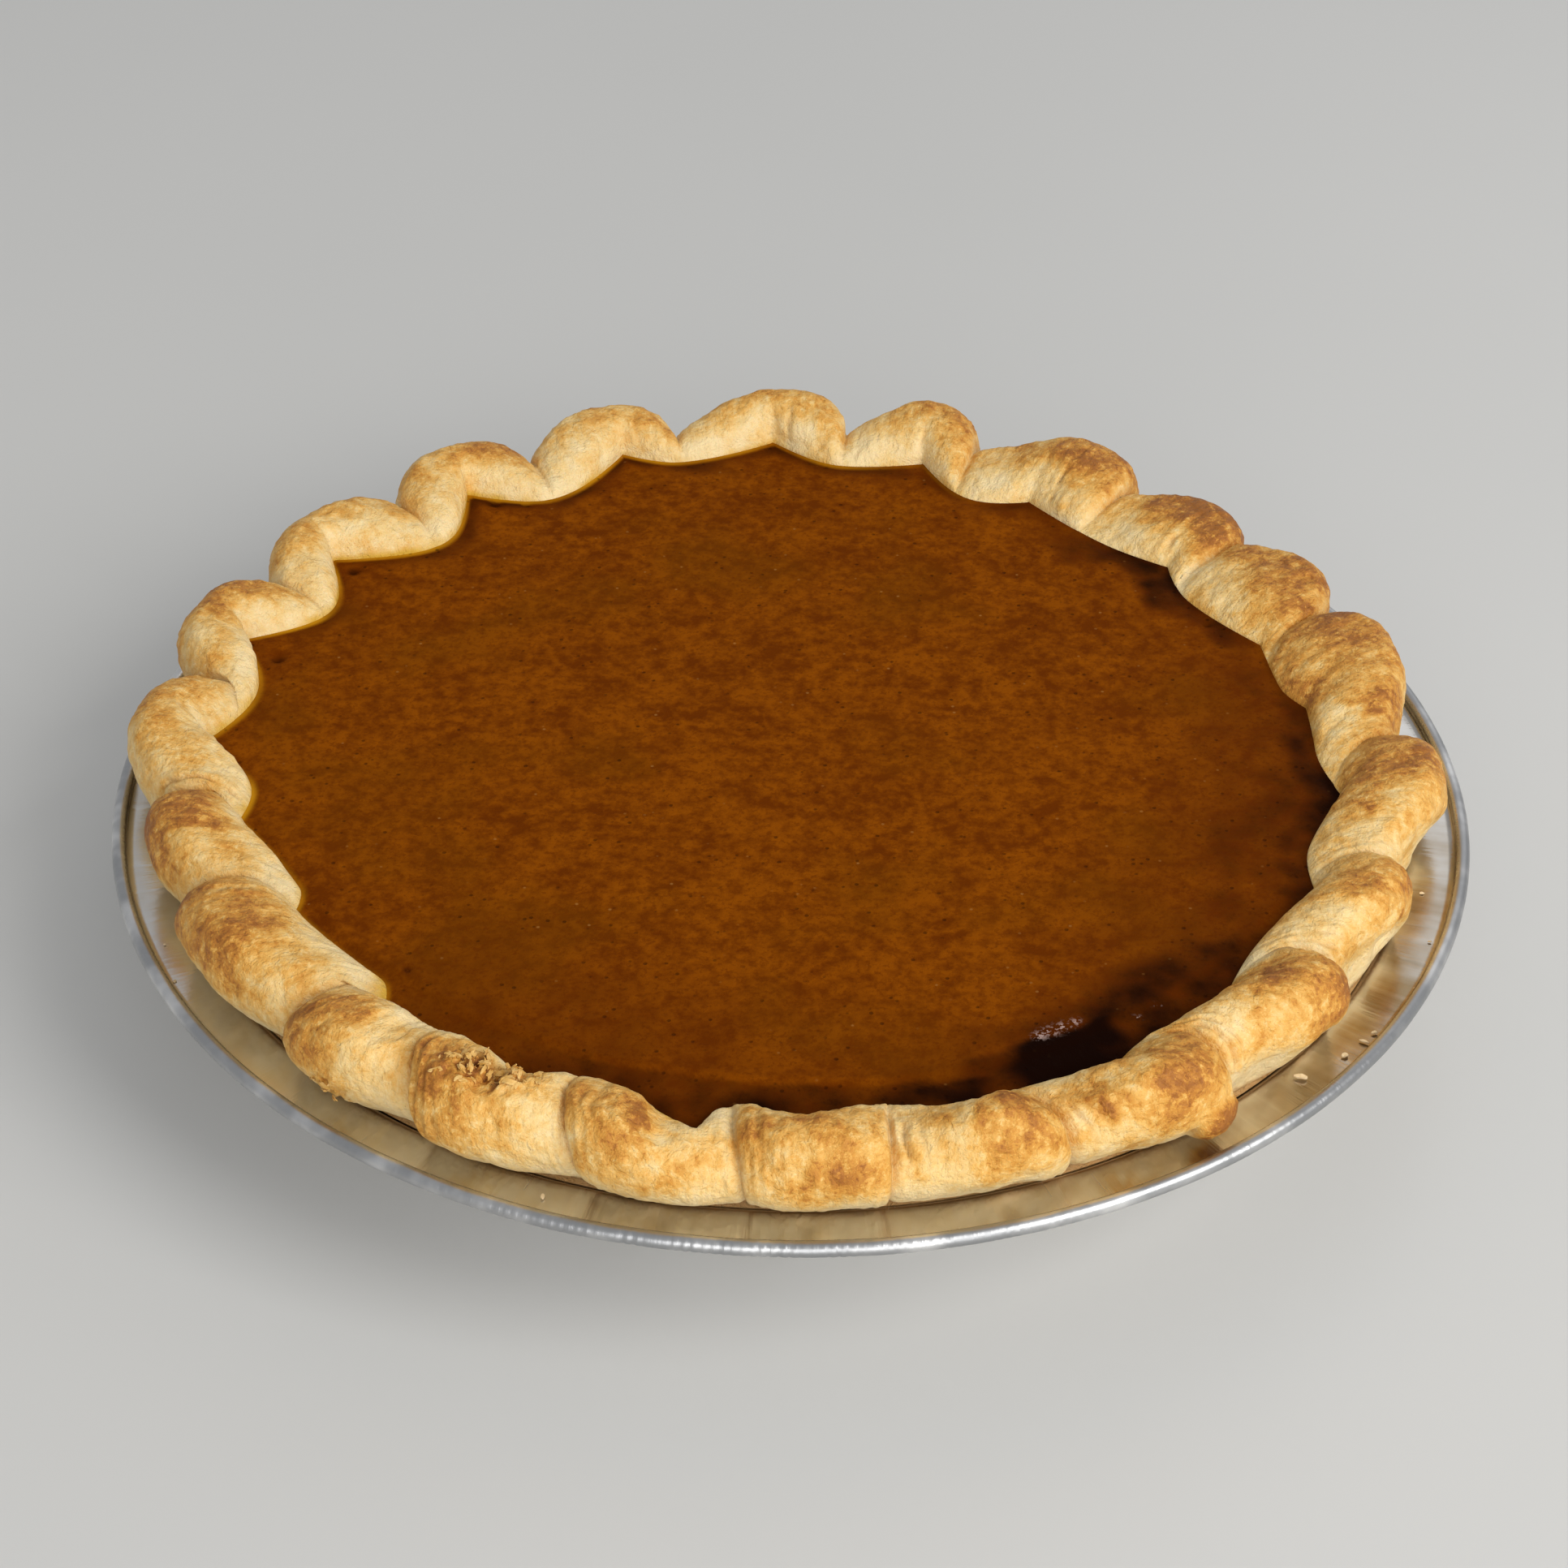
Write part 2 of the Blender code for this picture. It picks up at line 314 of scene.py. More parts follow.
class NodeKit:
    """Adds the nodes of one material."""

    def __init__(self, name: str) -> None:
        """Start an empty node material of that name.

        Args:
            name: The material's name.
        """
        self.material = bpy.data.materials.new(name)
        self.material.use_nodes = True
        self.tree = self.material.node_tree
        self.shader = self.tree.nodes["Principled BSDF"]

    def node(self, kind: str, settings: dict, inputs: dict) -> bpy.types.Node:
        """Add a node.

        Args:
            kind: Its Blender type.
            settings: Properties to set first; "stops" fills a colour ramp.
            inputs: Values or links of its sockets, by name or number.

        Returns:
            The node.
        """
        node = self.tree.nodes.new(kind)
        for key, value in settings.items():
            if key == "stops":
                self._fill_ramp(node.color_ramp, value)
            else:
                setattr(node, key, value)
        for key, value in inputs.items():
            self.feed(node.inputs[key], value)
        return node

    def value(self, kind: str, settings: dict, inputs: dict, output: str | int = 0) -> Value:
        """Add a node and return one of its outputs as a number."""
        return Value(self, self.node(kind, settings, inputs).outputs[output])

    @staticmethod
    def _fill_ramp(ramp: bpy.types.ColorRamp, stops: Sequence[tuple[float, Colour]]) -> None:
        """Give a colour ramp its stops.

        Args:
            ramp: The ramp to fill.
            stops: A place and a colour for each.
        """
        while len(ramp.elements) < len(stops):
            ramp.elements.new(1.0)
        for element, (place, colour) in zip(ramp.elements, stops):
            element.position = place
            element.color = (*colour, 1.0)

    def feed(self, socket: bpy.types.NodeSocket, value: Input) -> None:
        """Link a value to a socket, or set the socket to it.

        Args:
            socket: An input socket.
            value: A shader value, a number, a colour or a vector.
        """
        if isinstance(value, (Value, bpy.types.NodeSocket)):
            self.tree.links.new(getattr(value, "socket", value), socket)
        elif isinstance(value, (int, float)):
            socket.default_value = value
        else:
            socket.default_value = (*value, 1.0)[:len(socket.default_value)]

    def place(self) -> bpy.types.NodeSocket:
        """The position on the object, in metres."""
        return self.node("ShaderNodeTexCoord", {}, {}).outputs["Object"]

    def stored(self, grain: Grain) -> Value:
        """A number stored on the vertices."""
        return self.value("ShaderNodeAttribute", {"attribute_name": grain.value}, {}, "Fac")

    def stored_vector(self, grain: Grain) -> bpy.types.NodeSocket:
        """A vector stored on the vertices."""
        node = self.node("ShaderNodeAttribute", {"attribute_name": grain.value}, {})
        return node.outputs["Vector"]

    def noise(self, size: float, detail: float = 2.0, rough: float = 0.5,
              at: bpy.types.NodeSocket | None = None, distortion: float = 0.0) -> Value:
        """Soft noise.

        Args:
            size: Width of one lump, in millimetres.
            detail: Finer layers added.
            rough: How strong each finer layer is.
            at: Where it is read, if not on the object.
            distortion: How far the lumps are pulled about.

        Returns:
            Values between 0 and 1.
        """
        inputs = {"Vector": at or self.place(), "Scale": 1.0 / (size * MM), "Detail": detail,
                  "Roughness": rough, "Distortion": distortion}
        return self.value("ShaderNodeTexNoise", {}, inputs)

    def dots(self, spacing: float, radius: float) -> Value:
        """Scattered round dots.

        Args:
            spacing: About how far apart they are, in millimetres.
            radius: How big each is, in millimetres.

        Returns:
            1 inside a dot, 0 between them.
        """
        inputs = {"Vector": self.place(), "Scale": 1.0 / (spacing * MM), "Randomness": 1.0}
        distance = self.value("ShaderNodeTexVoronoi", {"feature": "F1"}, inputs, "Distance")
        return distance.rise(radius / spacing, 0.4 * radius / spacing)

    def ramp(self, place: Value, stops: Sequence[tuple[float, Colour]]) -> bpy.types.NodeSocket:
        """A colour ramp read at a value."""
        return self.node("ShaderNodeValToRGB", {"stops": stops}, {0: place}).outputs["Color"]

    def mix(self, share: Input, first: Input, second: Input,
            blend: str = "MIX") -> bpy.types.NodeSocket:
        """Mix two colours."""
        settings = {"data_type": "RGBA", "blend_type": blend}
        return self.node("ShaderNodeMix", settings, {0: share, 6: first, 7: second}).outputs[2]

    def bump(self, height: Value, depth: float,
             under: bpy.types.NodeSocket | None = None) -> bpy.types.NodeSocket:
        """Raise a bump.

        Args:
            height: The relief, from 0 to 1.
            depth: Its depth, in millimetres.
            under: The normal it goes over, if any.

        Returns:
            The bumped normal.
        """
        inputs = {"Height": height, "Distance": depth * MM, "Strength": 1.0}
        inputs.update({} if under is None else {"Normal": under})
        return self.node("ShaderNodeBump", {}, inputs).outputs["Normal"]

    def finish(self, constants: dict, varying: dict) -> bpy.types.Material:
        """Set the shader's plain values and link its varying ones.

        Args:
            constants: Plain values, by socket.
            varying: Linked values, by socket.

        Returns:
            The material.
        """
        for key, value in {**constants, **varying}.items():
            self.feed(self.shader.inputs[key], value)
        return self.material


@dataclass(frozen=True)
class CrustFinish:
    """Baked shortcrust: cream where it was shielded, golden to brown where it stood proud, with
    shade and light painted in.

    The sizes, in millimetres, are the widths of the marks and how deep each is.
    """

    stops: tuple = (
        (0.00, (0.88, 0.68, 0.36)),
        (0.20, (0.84, 0.58, 0.235)),
        (0.42, (0.76, 0.425, 0.105)),
        (0.62, (0.63, 0.290, 0.046)),
        (0.80, (0.48, 0.190, 0.027)),
        (1.00, (0.33, 0.115, 0.016)),
    )
    soaked: Colour = (0.64, 0.37, 0.040)
    painted_crease_shade: Colour = (0.46, 0.25, 0.09)
    mottle: float = 4.2
    mottle_depth: float = 0.34
    streak: float = 1.5
    streak_depth: float = 0.30
    fleck: float = 1.4
    fleck_depth: float = 0.38
    freckle: float = 0.5
    freckle_depth: float = 0.13
    plate: float = 3.0
    plate_edges: tuple = ((0.36, 0.45), (0.46, 0.55), (0.56, 0.65))

    def material(self) -> bpy.types.Material:
        """Mix the pastry's colours and bumps.

        Returns:
            The material.
        """
        kit = NodeKit("baked_pastry")
        bake = kit.stored(Grain.BAKE_AND_SHADE)
        patches = kit.noise(self.mottle, 4.0, 0.62, distortion=0.5)
        streaks = kit.noise(self.streak, 3.0, 0.6, kit.stored_vector(Grain.FLOW))
        flecks = kit.noise(self.fleck, 4.0, 0.68, distortion=0.3)
        freckles = kit.noise(self.freckle, 2.0, 0.6)
        plates = kit.noise(self.plate, 3.0, 0.62, distortion=0.8)
        ledges = sum(plates.rise(low, high) for low, high in self.plate_edges)
        tone = bake + (patches - 0.5) * (bake * 0.9 + 0.40) + (freckles - 0.5) * 0.16
        tone = tone + (streaks - 0.5) * (bake * 0.5 + 0.16)
        spots = flecks.rise(0.455, 0.375) * 0.24 - flecks.rise(0.545, 0.625) * 0.26
        tone = tone + spots * (bake + 0.10) + (ledges - 1.5) * (bake * 0.05 + 0.01)
        crumb = kit.ramp(tone.clamp(), self.stops)
        soaked = kit.mix(kit.stored(Grain.SOAK), crumb, self.soaked)
        # Painted shade: creases, pleats, tears and the foot are darkened by multiplying.
        shaded = kit.mix(kit.stored(Grain.HOLLOW_SHADE) * 0.72, soaked, self.painted_crease_shade, "MULTIPLY")
        under = kit.bump(patches + ledges * 0.16, self.mottle_depth)
        under = kit.bump(flecks, self.fleck_depth, under)
        under = kit.bump(streaks, self.streak_depth, under)
        normal = kit.bump(freckles, self.freckle_depth, under)
        rough = 0.60 - 0.12 * bake + (flecks - 0.5) * 0.2
        constants = {"Subsurface Weight": 0.08, "Subsurface Radius": (1.0, 0.5, 0.22),
                     "Subsurface Scale": 1.4 * MM, "Specular IOR Level": 0.26}
        return kit.finish(constants, {"Base Color": shaded, "Roughness": rough,
                                      "Normal": normal})


@dataclass(frozen=True)
class CustardFinish:
    """Baked pumpkin custard: a dark amber skin, darker where it settled, with a near-black dark
    reflection painted in at the right-front.
    """

    amber: Colour = (0.255, 0.063, 0.0012)
    russet: Colour = (0.135, 0.027, 0.0006)
    olive: Colour = (0.160, 0.046, 0.0008)
    dark: Colour = (0.0075, 0.0020, 0.0008)
    pale: Colour = (0.42, 0.20, 0.05)
    yellow: Colour = (0.46, 0.20, 0.006)
    rusty: Colour = (0.085, 0.0145, 0.0006)
    glint: Colour = (0.60, 0.42, 0.37)
    sheen_level: float = 0.006

    def material(self) -> bpy.types.Material:
        """Mix the custard's colours and bumps.

        Returns:
            The material.
        """
        kit = NodeKit("custard_skin")
        clouds = kit.noise(36.0)
        blots = kit.noise(11.0, 3.0, 0.6, distortion=0.4)
        mottle = kit.noise(2.8, 4.0, 0.66)
        fine = kit.noise(1.1, 4.0, 0.68)
        shade = kit.stored(Grain.SHADE)
        warmth = (blots - 0.5) * 2.1 + (mottle - 0.5) * 3.2 + 0.52
        warm = kit.mix(warmth.clamp(), self.russet, self.amber)
        base = kit.mix(clouds.rise(0.50, 0.68) * 0.4, warm, self.olive)
        grainy = kit.mix(fine.rise(0.50, 0.36) * 0.62, base, self.russet)
        ragged = (shade + (mottle - 0.5) * shade * (1.0 - shade) * 2.2).clamp()
        rusted = kit.mix(ragged.rise(0.0, 0.6) * 0.65, grainy, self.rusty)
        skin = kit.mix(ragged.rise(0.25, 1.0), rusted, self.dark)
        edged = kit.mix(kit.stored(Grain.SOAK), skin, self.yellow)
        pores = kit.dots(2.2, 0.50) * kit.noise(6.0).rise(0.48, 0.62)
        dotted = kit.mix(pores * 0.50, edged, self.dark)
        grains = kit.dots(3.6, 0.40) * kit.noise(9.0, 1.0).rise(0.48, 0.62)
        sparks = kit.stored(Grain.GLINT) * kit.noise(0.7, 2.0, 0.6).rise(0.53, 0.60)
        coloured = kit.mix(grains * (1 - shade).clamp() * 0.42, dotted, self.pale)
        coloured = kit.mix(sparks, coloured, self.glint)
        normal = kit.bump(fine, 0.07, kit.bump(mottle - pores * 0.5, 0.22))
        rough = 0.52 - 0.16 * shade + (mottle - 0.5) * 0.16
        return kit.finish({"Specular IOR Level": self.sheen_level},
                          {"Base Color": coloured, "Roughness": rough, "Normal": normal})


@dataclass(frozen=True)
class TinFinish:
    """Rolled aluminium with fine marks that run outwards across its flange."""

    metal: Colour = (0.80, 0.795, 0.79)
    stained: Colour = (0.68, 0.64, 0.58)
    dulled: Colour = (0.40, 0.405, 0.415)
    painted_shade: Colour = (0.22, 0.195, 0.16)
    syrup_and_shade: Colour = (0.37, 0.275, 0.16)

    def material(self) -> bpy.types.Material:
        """Mix the metal's colours and bumps.

        Returns:
            The material.
        """
        kit = NodeKit("rolled_aluminium")
        flow = kit.stored_vector(Grain.FLOW)
        drawn = kit.noise(0.9, 3.0, 0.6, flow)
        broad = kit.noise(5.0, at=flow)
        clouds = kit.noise(14.0, 3.0, 0.6)
        dull = kit.stored(Grain.SHADE)
        base = kit.mix(clouds.rise(0.42, 0.72) * 0.5, self.metal, self.stained)
        base = kit.mix(dull * clouds.rise(0.25, 0.60), base, self.dulled)
        # Painted shade: darker in the channel beside the bead and on the flange where the crust
        # sits.
        base = kit.mix(kit.stored(Grain.HOLLOW_SHADE) * 0.7, base, self.painted_shade)
        # Dried syrup at the right, and a painted darker reflection at the left.
        thick = 0.80 + (broad - 0.5) * 1.2 + (clouds - 0.5) * 1.4
        base = kit.mix((kit.stored(Grain.SOAK) * thick).clamp(), base, self.syrup_and_shade)
        rough = 0.22 + (drawn - 0.5) * 0.20 + (clouds - 0.5) * 0.12 + (broad - 0.5) * 0.10
        normal = kit.bump(drawn, 0.07, kit.bump(broad, 0.16))
        return kit.finish({"Metallic": 1.0}, {"Base Color": base, "Roughness": rough + dull * 0.16,
                                              "Normal": normal})


@dataclass(frozen=True)
class FlakeFinish:
    """Thin dry flakes of pastry."""

    pale: Colour = (0.86, 0.68, 0.42)
    toasted: Colour = (0.60, 0.28, 0.060)

    def material(self, name: str, share: float) -> bpy.types.Material:
        """Mix a flake's colours and bumps.

        Args:
            name: The material's name.
            share: How toasted the flakes are, from 0 to 1.

        Returns:
            The material.
        """
        kit = NodeKit(name)
        patches = kit.noise(1.4, 2.0, 0.6)
        base = kit.mix(((patches - 0.5) * 1.8 + share).clamp(), self.pale, self.toasted)
        normal = kit.bump(kit.noise(0.5, 2.0, 0.6), 0.1)
        constants = {"Roughness": 0.6, "Specular IOR Level": 0.25}
        return kit.finish(constants, {"Base Color": base, "Normal": normal})


@dataclass(frozen=True)
class FloorFinish:
    """The plain pale table, faintly clouded."""

    colour: Colour = (0.64, 0.635, 0.62)
    clouded: Colour = (0.58, 0.58, 0.565)

    def material(self) -> bpy.types.Material:
        """Cloud the table's colour.

        Returns:
            The material.
        """
        kit = NodeKit("pale_table")
        shade = kit.mix(kit.noise(220.0, 3.0).rise(0.3, 0.8) * 0.25, self.colour, self.clouded)
        return kit.finish({"Roughness": 0.38, "Specular IOR Level": 0.35}, {"Base Color": shade})


# --- tin and crust ---

@dataclass(frozen=True)
class Flute:
    """One hand-pinched flute of the rim.

    reach (its outer radius), crown (its height) and scallop (the radius of its inner edge at the
    cusp) are in millimetres; cusp is that cusp's bearing, in degrees anticlockwise from +X.
    skew moves its fullest place towards the next flute (+) or the last one (-); bake is
    how brown its top is, raised partly as painted shade on the flutes that stand in shade at the
    right, the back-right and 196°.
    """

    reach: float
    crown: float
    scallop: float
    cusp: float
    skew: float
    bake: float


@dataclass(frozen=True)
class Crease:
    """The crease where one flute is folded against the next.

    It runs from outer to inner, in degrees.  side says which flute lies on top: 1 the next one,
    -1 the one before.  depth is its strength; neck and reach are the height and the radius of
    the dough at the pinch; bulge is the inner edge's smallest radius, at the bearing apex.
    lean is the share of the way from outer to inner that it has gone at the crown, whose radius
    at the pinch is ridge.
    """

    outer: float
    inner: float
    side: int
    depth: float
    neck: float
    reach: float
    apex: float
    bulge: float
    lean: float = 0.26
    ridge: float = 107.5


@dataclass(frozen=True)
class Pleat:
    """A small fold beside a crease: its bearing, its depth and where it starts and ends.

    low and high are places along the section: 1 is the belly, 2 the crown, 3 the custard.
    """

    bearing: float
    low: float
    high: float
    depth: float


@dataclass(frozen=True)
class Dip:
    """A dip in the rim's crest: bearing and spread in degrees, drop and push in millimetres."""

    bearing: float
    spread: float
    drop: float
    push: float


# A flute's last number is raised partly as painted shade on the flutes that stand in shade: at the
# right, the back-right and 196°.
FLUTES = rows(
    Flute, (121.5, 47.6, 98.3, 6.9, 0.30, 0.72), (120.5, 47.4, 97.0, 20.0, -0.10, 0.82),
    (119.5, 47.0, 97.0, 39.0, -0.30, 0.84), (121.0, 49.0, 98.4, 60.4, -0.35, 0.62),
    (121.5, 49.4, 104.0, 74.9, -0.30, 0.50), (122.0, 49.6, 108.6, 92.4, -0.20, 0.44),
    (122.0, 49.4, 109.0, 109.5, -0.05, 0.40), (122.5, 49.2, 109.2, 128.4, 0.10, 0.50),
    (122.5, 48.6, 110.6, 147.4, 0.05, 0.42), (124.0, 48.2, 111.4, 164.2, -0.05, 0.54),
    (124.5, 48.0, 110.4, 182.6, -0.15, 0.50), (121.0, 47.4, 104.0, 195.9, -0.32, 0.76),
    (122.0, 47.6, 102.4, 212.2, -0.30, 0.66), (122.5, 48.0, 105.0, 229.4, -0.30, 0.56),
    (123.0, 48.6, 108.5, 247.8, -0.25, 0.54), (122.0, 48.2, 112.0, 262.2, -0.35, 0.50),
    (122.0, 47.6, 109.5, 271.5, 0.15, 0.46), (122.0, 48.4, 109.5, 285.5, 0.38, 0.48),
    (122.6, 48.2, 108.5, 299.5, 0.32, 0.56), (120.8, 48.0, 106.0, 314.0, 0.34, 0.62),
    (119.0, 47.4, 103.2, 334.2, 0.32, 0.50), (121.6, 47.6, 102.6, 350.6, 0.28, 0.62),
)

CREASES = rows(
    Crease, (22.5, 16.5, -1, 0.8, 43.8, 113.6, 11.5, 95.2),
    (37.5, 35.0, 1, 0.8, 43.8, 113.6, 31.5, 92.2), (51.5, 52.0, 1, 0.8, 43.8, 113.8, 48.0, 93.8),
    (70.0, 69.5, 1, 0.8, 43.8, 113.8, 66.6, 93.6), (84.5, 84.5, 1, 0.7, 43.8, 114.0, 84.0, 99.6),
    (103.5, 103.5, 1, 0.7, 43.8, 114.0, 103.0, 102.6),
    (120.0, 121.0, 1, 0.6, 43.8, 114.0, 120.4, 98.0),
    (136.5, 138.0, 1, 0.6, 43.8, 114.0, 137.0, 97.3),
    (155.5, 157.0, 1, 0.7, 43.8, 114.0, 155.8, 99.8),
    (172.0, 178.0, 1, 0.9, 43.8, 114.6, 173.4, 102.6),
    (191.0, 196.0, 1, 1.0, 44.0, 116.0, 190.6, 100.6),
    (204.8, 212.0, 1, 1.1, 44.0, 116.0, 208.8, 98.9),
    (224.0, 230.5, 1, 1.1, 44.0, 117.0, 226.2, 100.8),
    (239.4, 236.6, 1, 0.9, 45.4, 118.0, 236.9, 104.4, 0.85, 111.2),
    (254.4, 251.4, 1, 1.1, 45.2, 119.0, 251.4, 104.2, 1.05, 110.6),
    (267.0, 265.0, 1, 0.8, 43.8, 119.6, 265.4, 104.8, 0.75, 110.6),
    (277.8, 278.8, -1, 1.0, 43.8, 120.0, 279.0, 105.2, 0.5, 110.0),
    (293.2, 290.2, -1, 1.0, 43.2, 118.6, 292.0, 106.0, 0.5, 111.6),
    (308.6, 302.5, -1, 1.1, 44.2, 117.4, 306.0, 104.4, 0.26, 109.0),
    (325.2, 317.3, -1, 1.1, 44.2, 115.2, 325.0, 100.8),
    (341.2, 335.5, -1, 1.0, 44.0, 114.6, 341.0, 98.6),
    (361.5, 352.5, -1, 0.9, 43.8, 114.2, 359.0, 97.8),
)

DIPS = rows(
    Dip, (233.6, 2.8, 1.4, 2.6), (247.8, 1.3, 1.6, 2.2), (262.0, 2.2, 3.4, 3.2),
    (265.0, 1.4, 1.0, 1.0), (282.5, 2.5, 0.6, 0.8), (291.8, 1.6, 1.0, 1.4), (297.5, 4.0, 1.1, 2.4),
)

PLEATS = rows(
    Pleat, (189.0, 1.0, 3.0, 1.00), (207.0, 1.6, 2.9, 0.45), (208.6, 1.8, 2.9, 0.35),
    (226.4, 1.5, 2.9, 0.50), (228.0, 1.7, 2.9, 0.45), (229.6, 1.9, 2.8, 0.30),
    (240.6, 0.5, 2.5, 0.90), (241.7, 0.7, 2.1, 1.00), (243.0, 0.7, 1.6, 0.60),
    (256.4, 1.3, 2.3, 0.45), (258.0, 1.5, 2.4, 0.50), (259.6, 1.7, 2.4, 0.35),
    (268.6, 0.8, 2.6, 0.50), (269.9, 1.0, 2.4, 0.30), (279.3, 1.1, 2.2, 0.80),
    (280.7, 1.2, 2.2, 0.35), (283.5, 1.5, 2.3, 0.50), (285.0, 1.6, 2.3, 0.45),
    (295.0, 1.1, 2.5, 0.55), (296.4, 1.2, 2.4, 0.45), (309.9, 0.8, 2.8, 0.70),
    (310.9, 1.1, 2.7, 0.55), (312.2, 1.3, 2.5, 0.35), (326.6, 1.0, 2.8, 0.55),
    (327.9, 1.2, 2.6, 0.40), (343.2, 1.2, 2.7, 0.40), (41.5, 1.9, 3.1, 0.90),
    (57.5, 1.9, 3.1, 0.80), (75.5, 2.0, 3.1, 0.60), (90.7, 2.0, 3.1, 0.60),
    (107.5, 2.0, 3.1, 0.40), (113.5, 2.0, 3.0, 0.30), (86.5, 2.0, 3.0, 0.30),
)


@dataclass(frozen=True)
class Tin:
    """Sizes of the pan, in metres, and the ways to build it.

    wander lists the noise that lifts its flange.  stains_and_shade lists the bearing, spread and
    strength
    of each darker stretch on its flange: dried syrup at the right, and a painted darker reflection
    at the left.
    The bead's crimps are crimp_pitch degrees apart, deepest at crimp_bearing and crimp_least of
    that far from it.  groove_shade is the width of the shade painted in the channel beside the
    bead, and grain_draw how far the marks are drawn out across the flange.
    """

    sheet: float = 0.6 * MM
    base_radius: float = 93.0 * MM
    mouth_radius: float = 115.0 * MM
    flange_top: float = 28.6 * MM
    flange_radius: float = 124.2 * MM
    rim_radius: float = 127.0 * MM
    bead_radius: float = 1.4 * MM
    base_corner: float = 5.0 * MM
    mouth_corner: float = 2.0 * MM
    steps: int = 1872
    wander: Layers = ((3, 34.0, 0.20), (4, 11.0, 0.08))
    stains_and_shade: tuple = ((330.0, 30.0, 1.0), (185.0, 30.0, 0.30))
    crimp_depth: float = 0.24 * MM
    crimp_pitch: float = 0.72
    crimp_bearing: float = 264.0
    crimp_spread: float = 18.0
    crimp_least: float = 0.20
    bend_points: int = 4
    bead_points: int = 20
    flange_points: int = 8
    groove_shade: float = 0.45 * MM
    grain_draw: float = 0.04

    def flare(self) -> float:
        """Angle of the wall from the vertical, in radians."""
        return math.atan2(self.mouth_radius - self.base_radius, self.flange_top)

    def wall_radius(self, height: float) -> float:
        """Radius of the wall's inner face at a height."""
        return self.mouth_radius - (self.flange_top - height) * math.tan(self.flare())

    def bends(self, offset: float, count: int) -> tuple[list, list]:
        """The base bend and the mouth bend of the inner face, moved inwards by an offset.

        Args:
            offset: How far inwards, in metres; negative is outwards.
            count: Points in each bend.

        Returns:
            Two lists of radius and height.
        """
        flare = self.flare()
        floor, flange = self.sheet + offset, self.flange_top + offset
        shift = offset / math.cos(flare)
        slack = math.tan((math.pi / 2 - flare) / 2)
        lean = math.degrees(flare)
        base = (self.wall_radius(floor) - shift - self.base_corner * slack,
                floor + self.base_corner)
        mouth = (self.wall_radius(flange) - shift + self.mouth_corner * slack,
                 flange - self.mouth_corner)
        return (arc(base, self.base_corner, -90.0, -lean, count),
                arc(mouth, self.mouth_corner, 180.0 - lean, 90.0, count))

    def profile(self) -> Array:
        """The pan's section, from inside its floor over the bead to underneath.

        Returns:
            Rows of radius and height.
        """
        base_in, mouth_in = self.bends(0.0, self.bend_points)
        base_out, mouth_out = self.bends(-self.sheet, self.bend_points)
        bead = (self.rim_radius - self.bead_radius, self.flange_top + self.bead_radius)
        flange = np.linspace(mouth_in[-1][0], self.flange_radius, self.flange_points)[1:]
        points = base_in + mouth_in + [(radius, self.flange_top) for radius in flange]
        points += arc(bead, self.bead_radius, 225.0, -90.0, self.bead_points)
        points.append((self.flange_radius, self.flange_top - self.sheet))
        return np.array(points + mouth_out[::-1] + base_out[::-1])

    def build(self, finish: TinFinish) -> bpy.types.Object:
        """Turn the pan, crimp its bead, let its flange wander a little, mark it with dried syrup
        and paint shade and a darker reflection on it.

        Args:
            finish: The metal's finish.

        Returns:
            The pan.
        """
        across, up = self.profile().T
        angle = np.arange(self.steps)[:, None] * math.tau / self.steps
        circle = round_axis(self.rim_radius, angle, 0.0)
        on_flange = smooth(across, self.mouth_radius, self.mouth_radius + 3.0 * MM)
        on_bead = smooth(across, self.flange_radius, self.rim_radius - self.bead_radius)
        height = up + lumps(circle, self.wander) * on_flange
        radius = across - self.crimps(circle, np.degrees(angle)) * on_bead
        mesh = ring_mesh("pie_tin", round_axis(radius, angle, height),
                         Vector((0, 0, self.sheet)), Vector((0, 0, 0)))
        store(mesh, Grain.FLOW, round_axis(self.rim_radius, angle, radius * self.grain_draw))
        # Painted shade in the channel beside the bead, and a painted contact shadow on the flange
        # where the crust sits.
        groove_shade = bell(across - self.flange_radius, self.groove_shade)
        groove_shade = groove_shade * (up > self.flange_top - 0.1 * MM)
        gap = smooth(across, self.mouth_radius + 1.6 * MM, self.mouth_radius - 0.4 * MM)
        gap = gap * (up > self.flange_top - 1.0 * MM)
        patchy = 0.55 + 0.45 * smooth(Noise(7)(circle, 16.0), -0.5, 0.4)
        store(mesh, Grain.HOLLOW_SHADE, np.maximum(groove_shade, gap) * patchy)
        # Dried syrup at the right; the mark at the left is a painted darker reflection.
        stain_and_shade = np.maximum.reduce([strength * bell(turn(np.degrees(angle), bearing), spread)
                                   for bearing, spread, strength in self.stains_and_shade])
        store(mesh, Grain.SOAK, stain_and_shade * on_flange * (1 - on_bead))
        store(mesh, Grain.SHADE, on_bead + 0 * angle)
        return place_piece("pie_tin", mesh, finish.material(), "tin")

    def crimps(self, circle: Array, bearing: Array) -> Array:
        """Depth of the fine crimps that rolling leaves in the bead.

        Args:
            circle: Points round the bead.
            bearing: Their bearings, in degrees.

        Returns:
            The depths, in metres.
        """
        near = bell(turn(bearing, self.crimp_bearing), self.crimp_spread)
        strong = self.crimp_least + (1 - self.crimp_least) * near
        patchy = smooth(Noise(5)(circle, 6.0), -0.5, 0.5)
        phase = math.tau * bearing / self.crimp_pitch + 2.0 * Noise(6)(circle, 9.0)
        return self.crimp_depth * strong * patchy * (0.5 + 0.5 * np.sin(phase)) ** 2


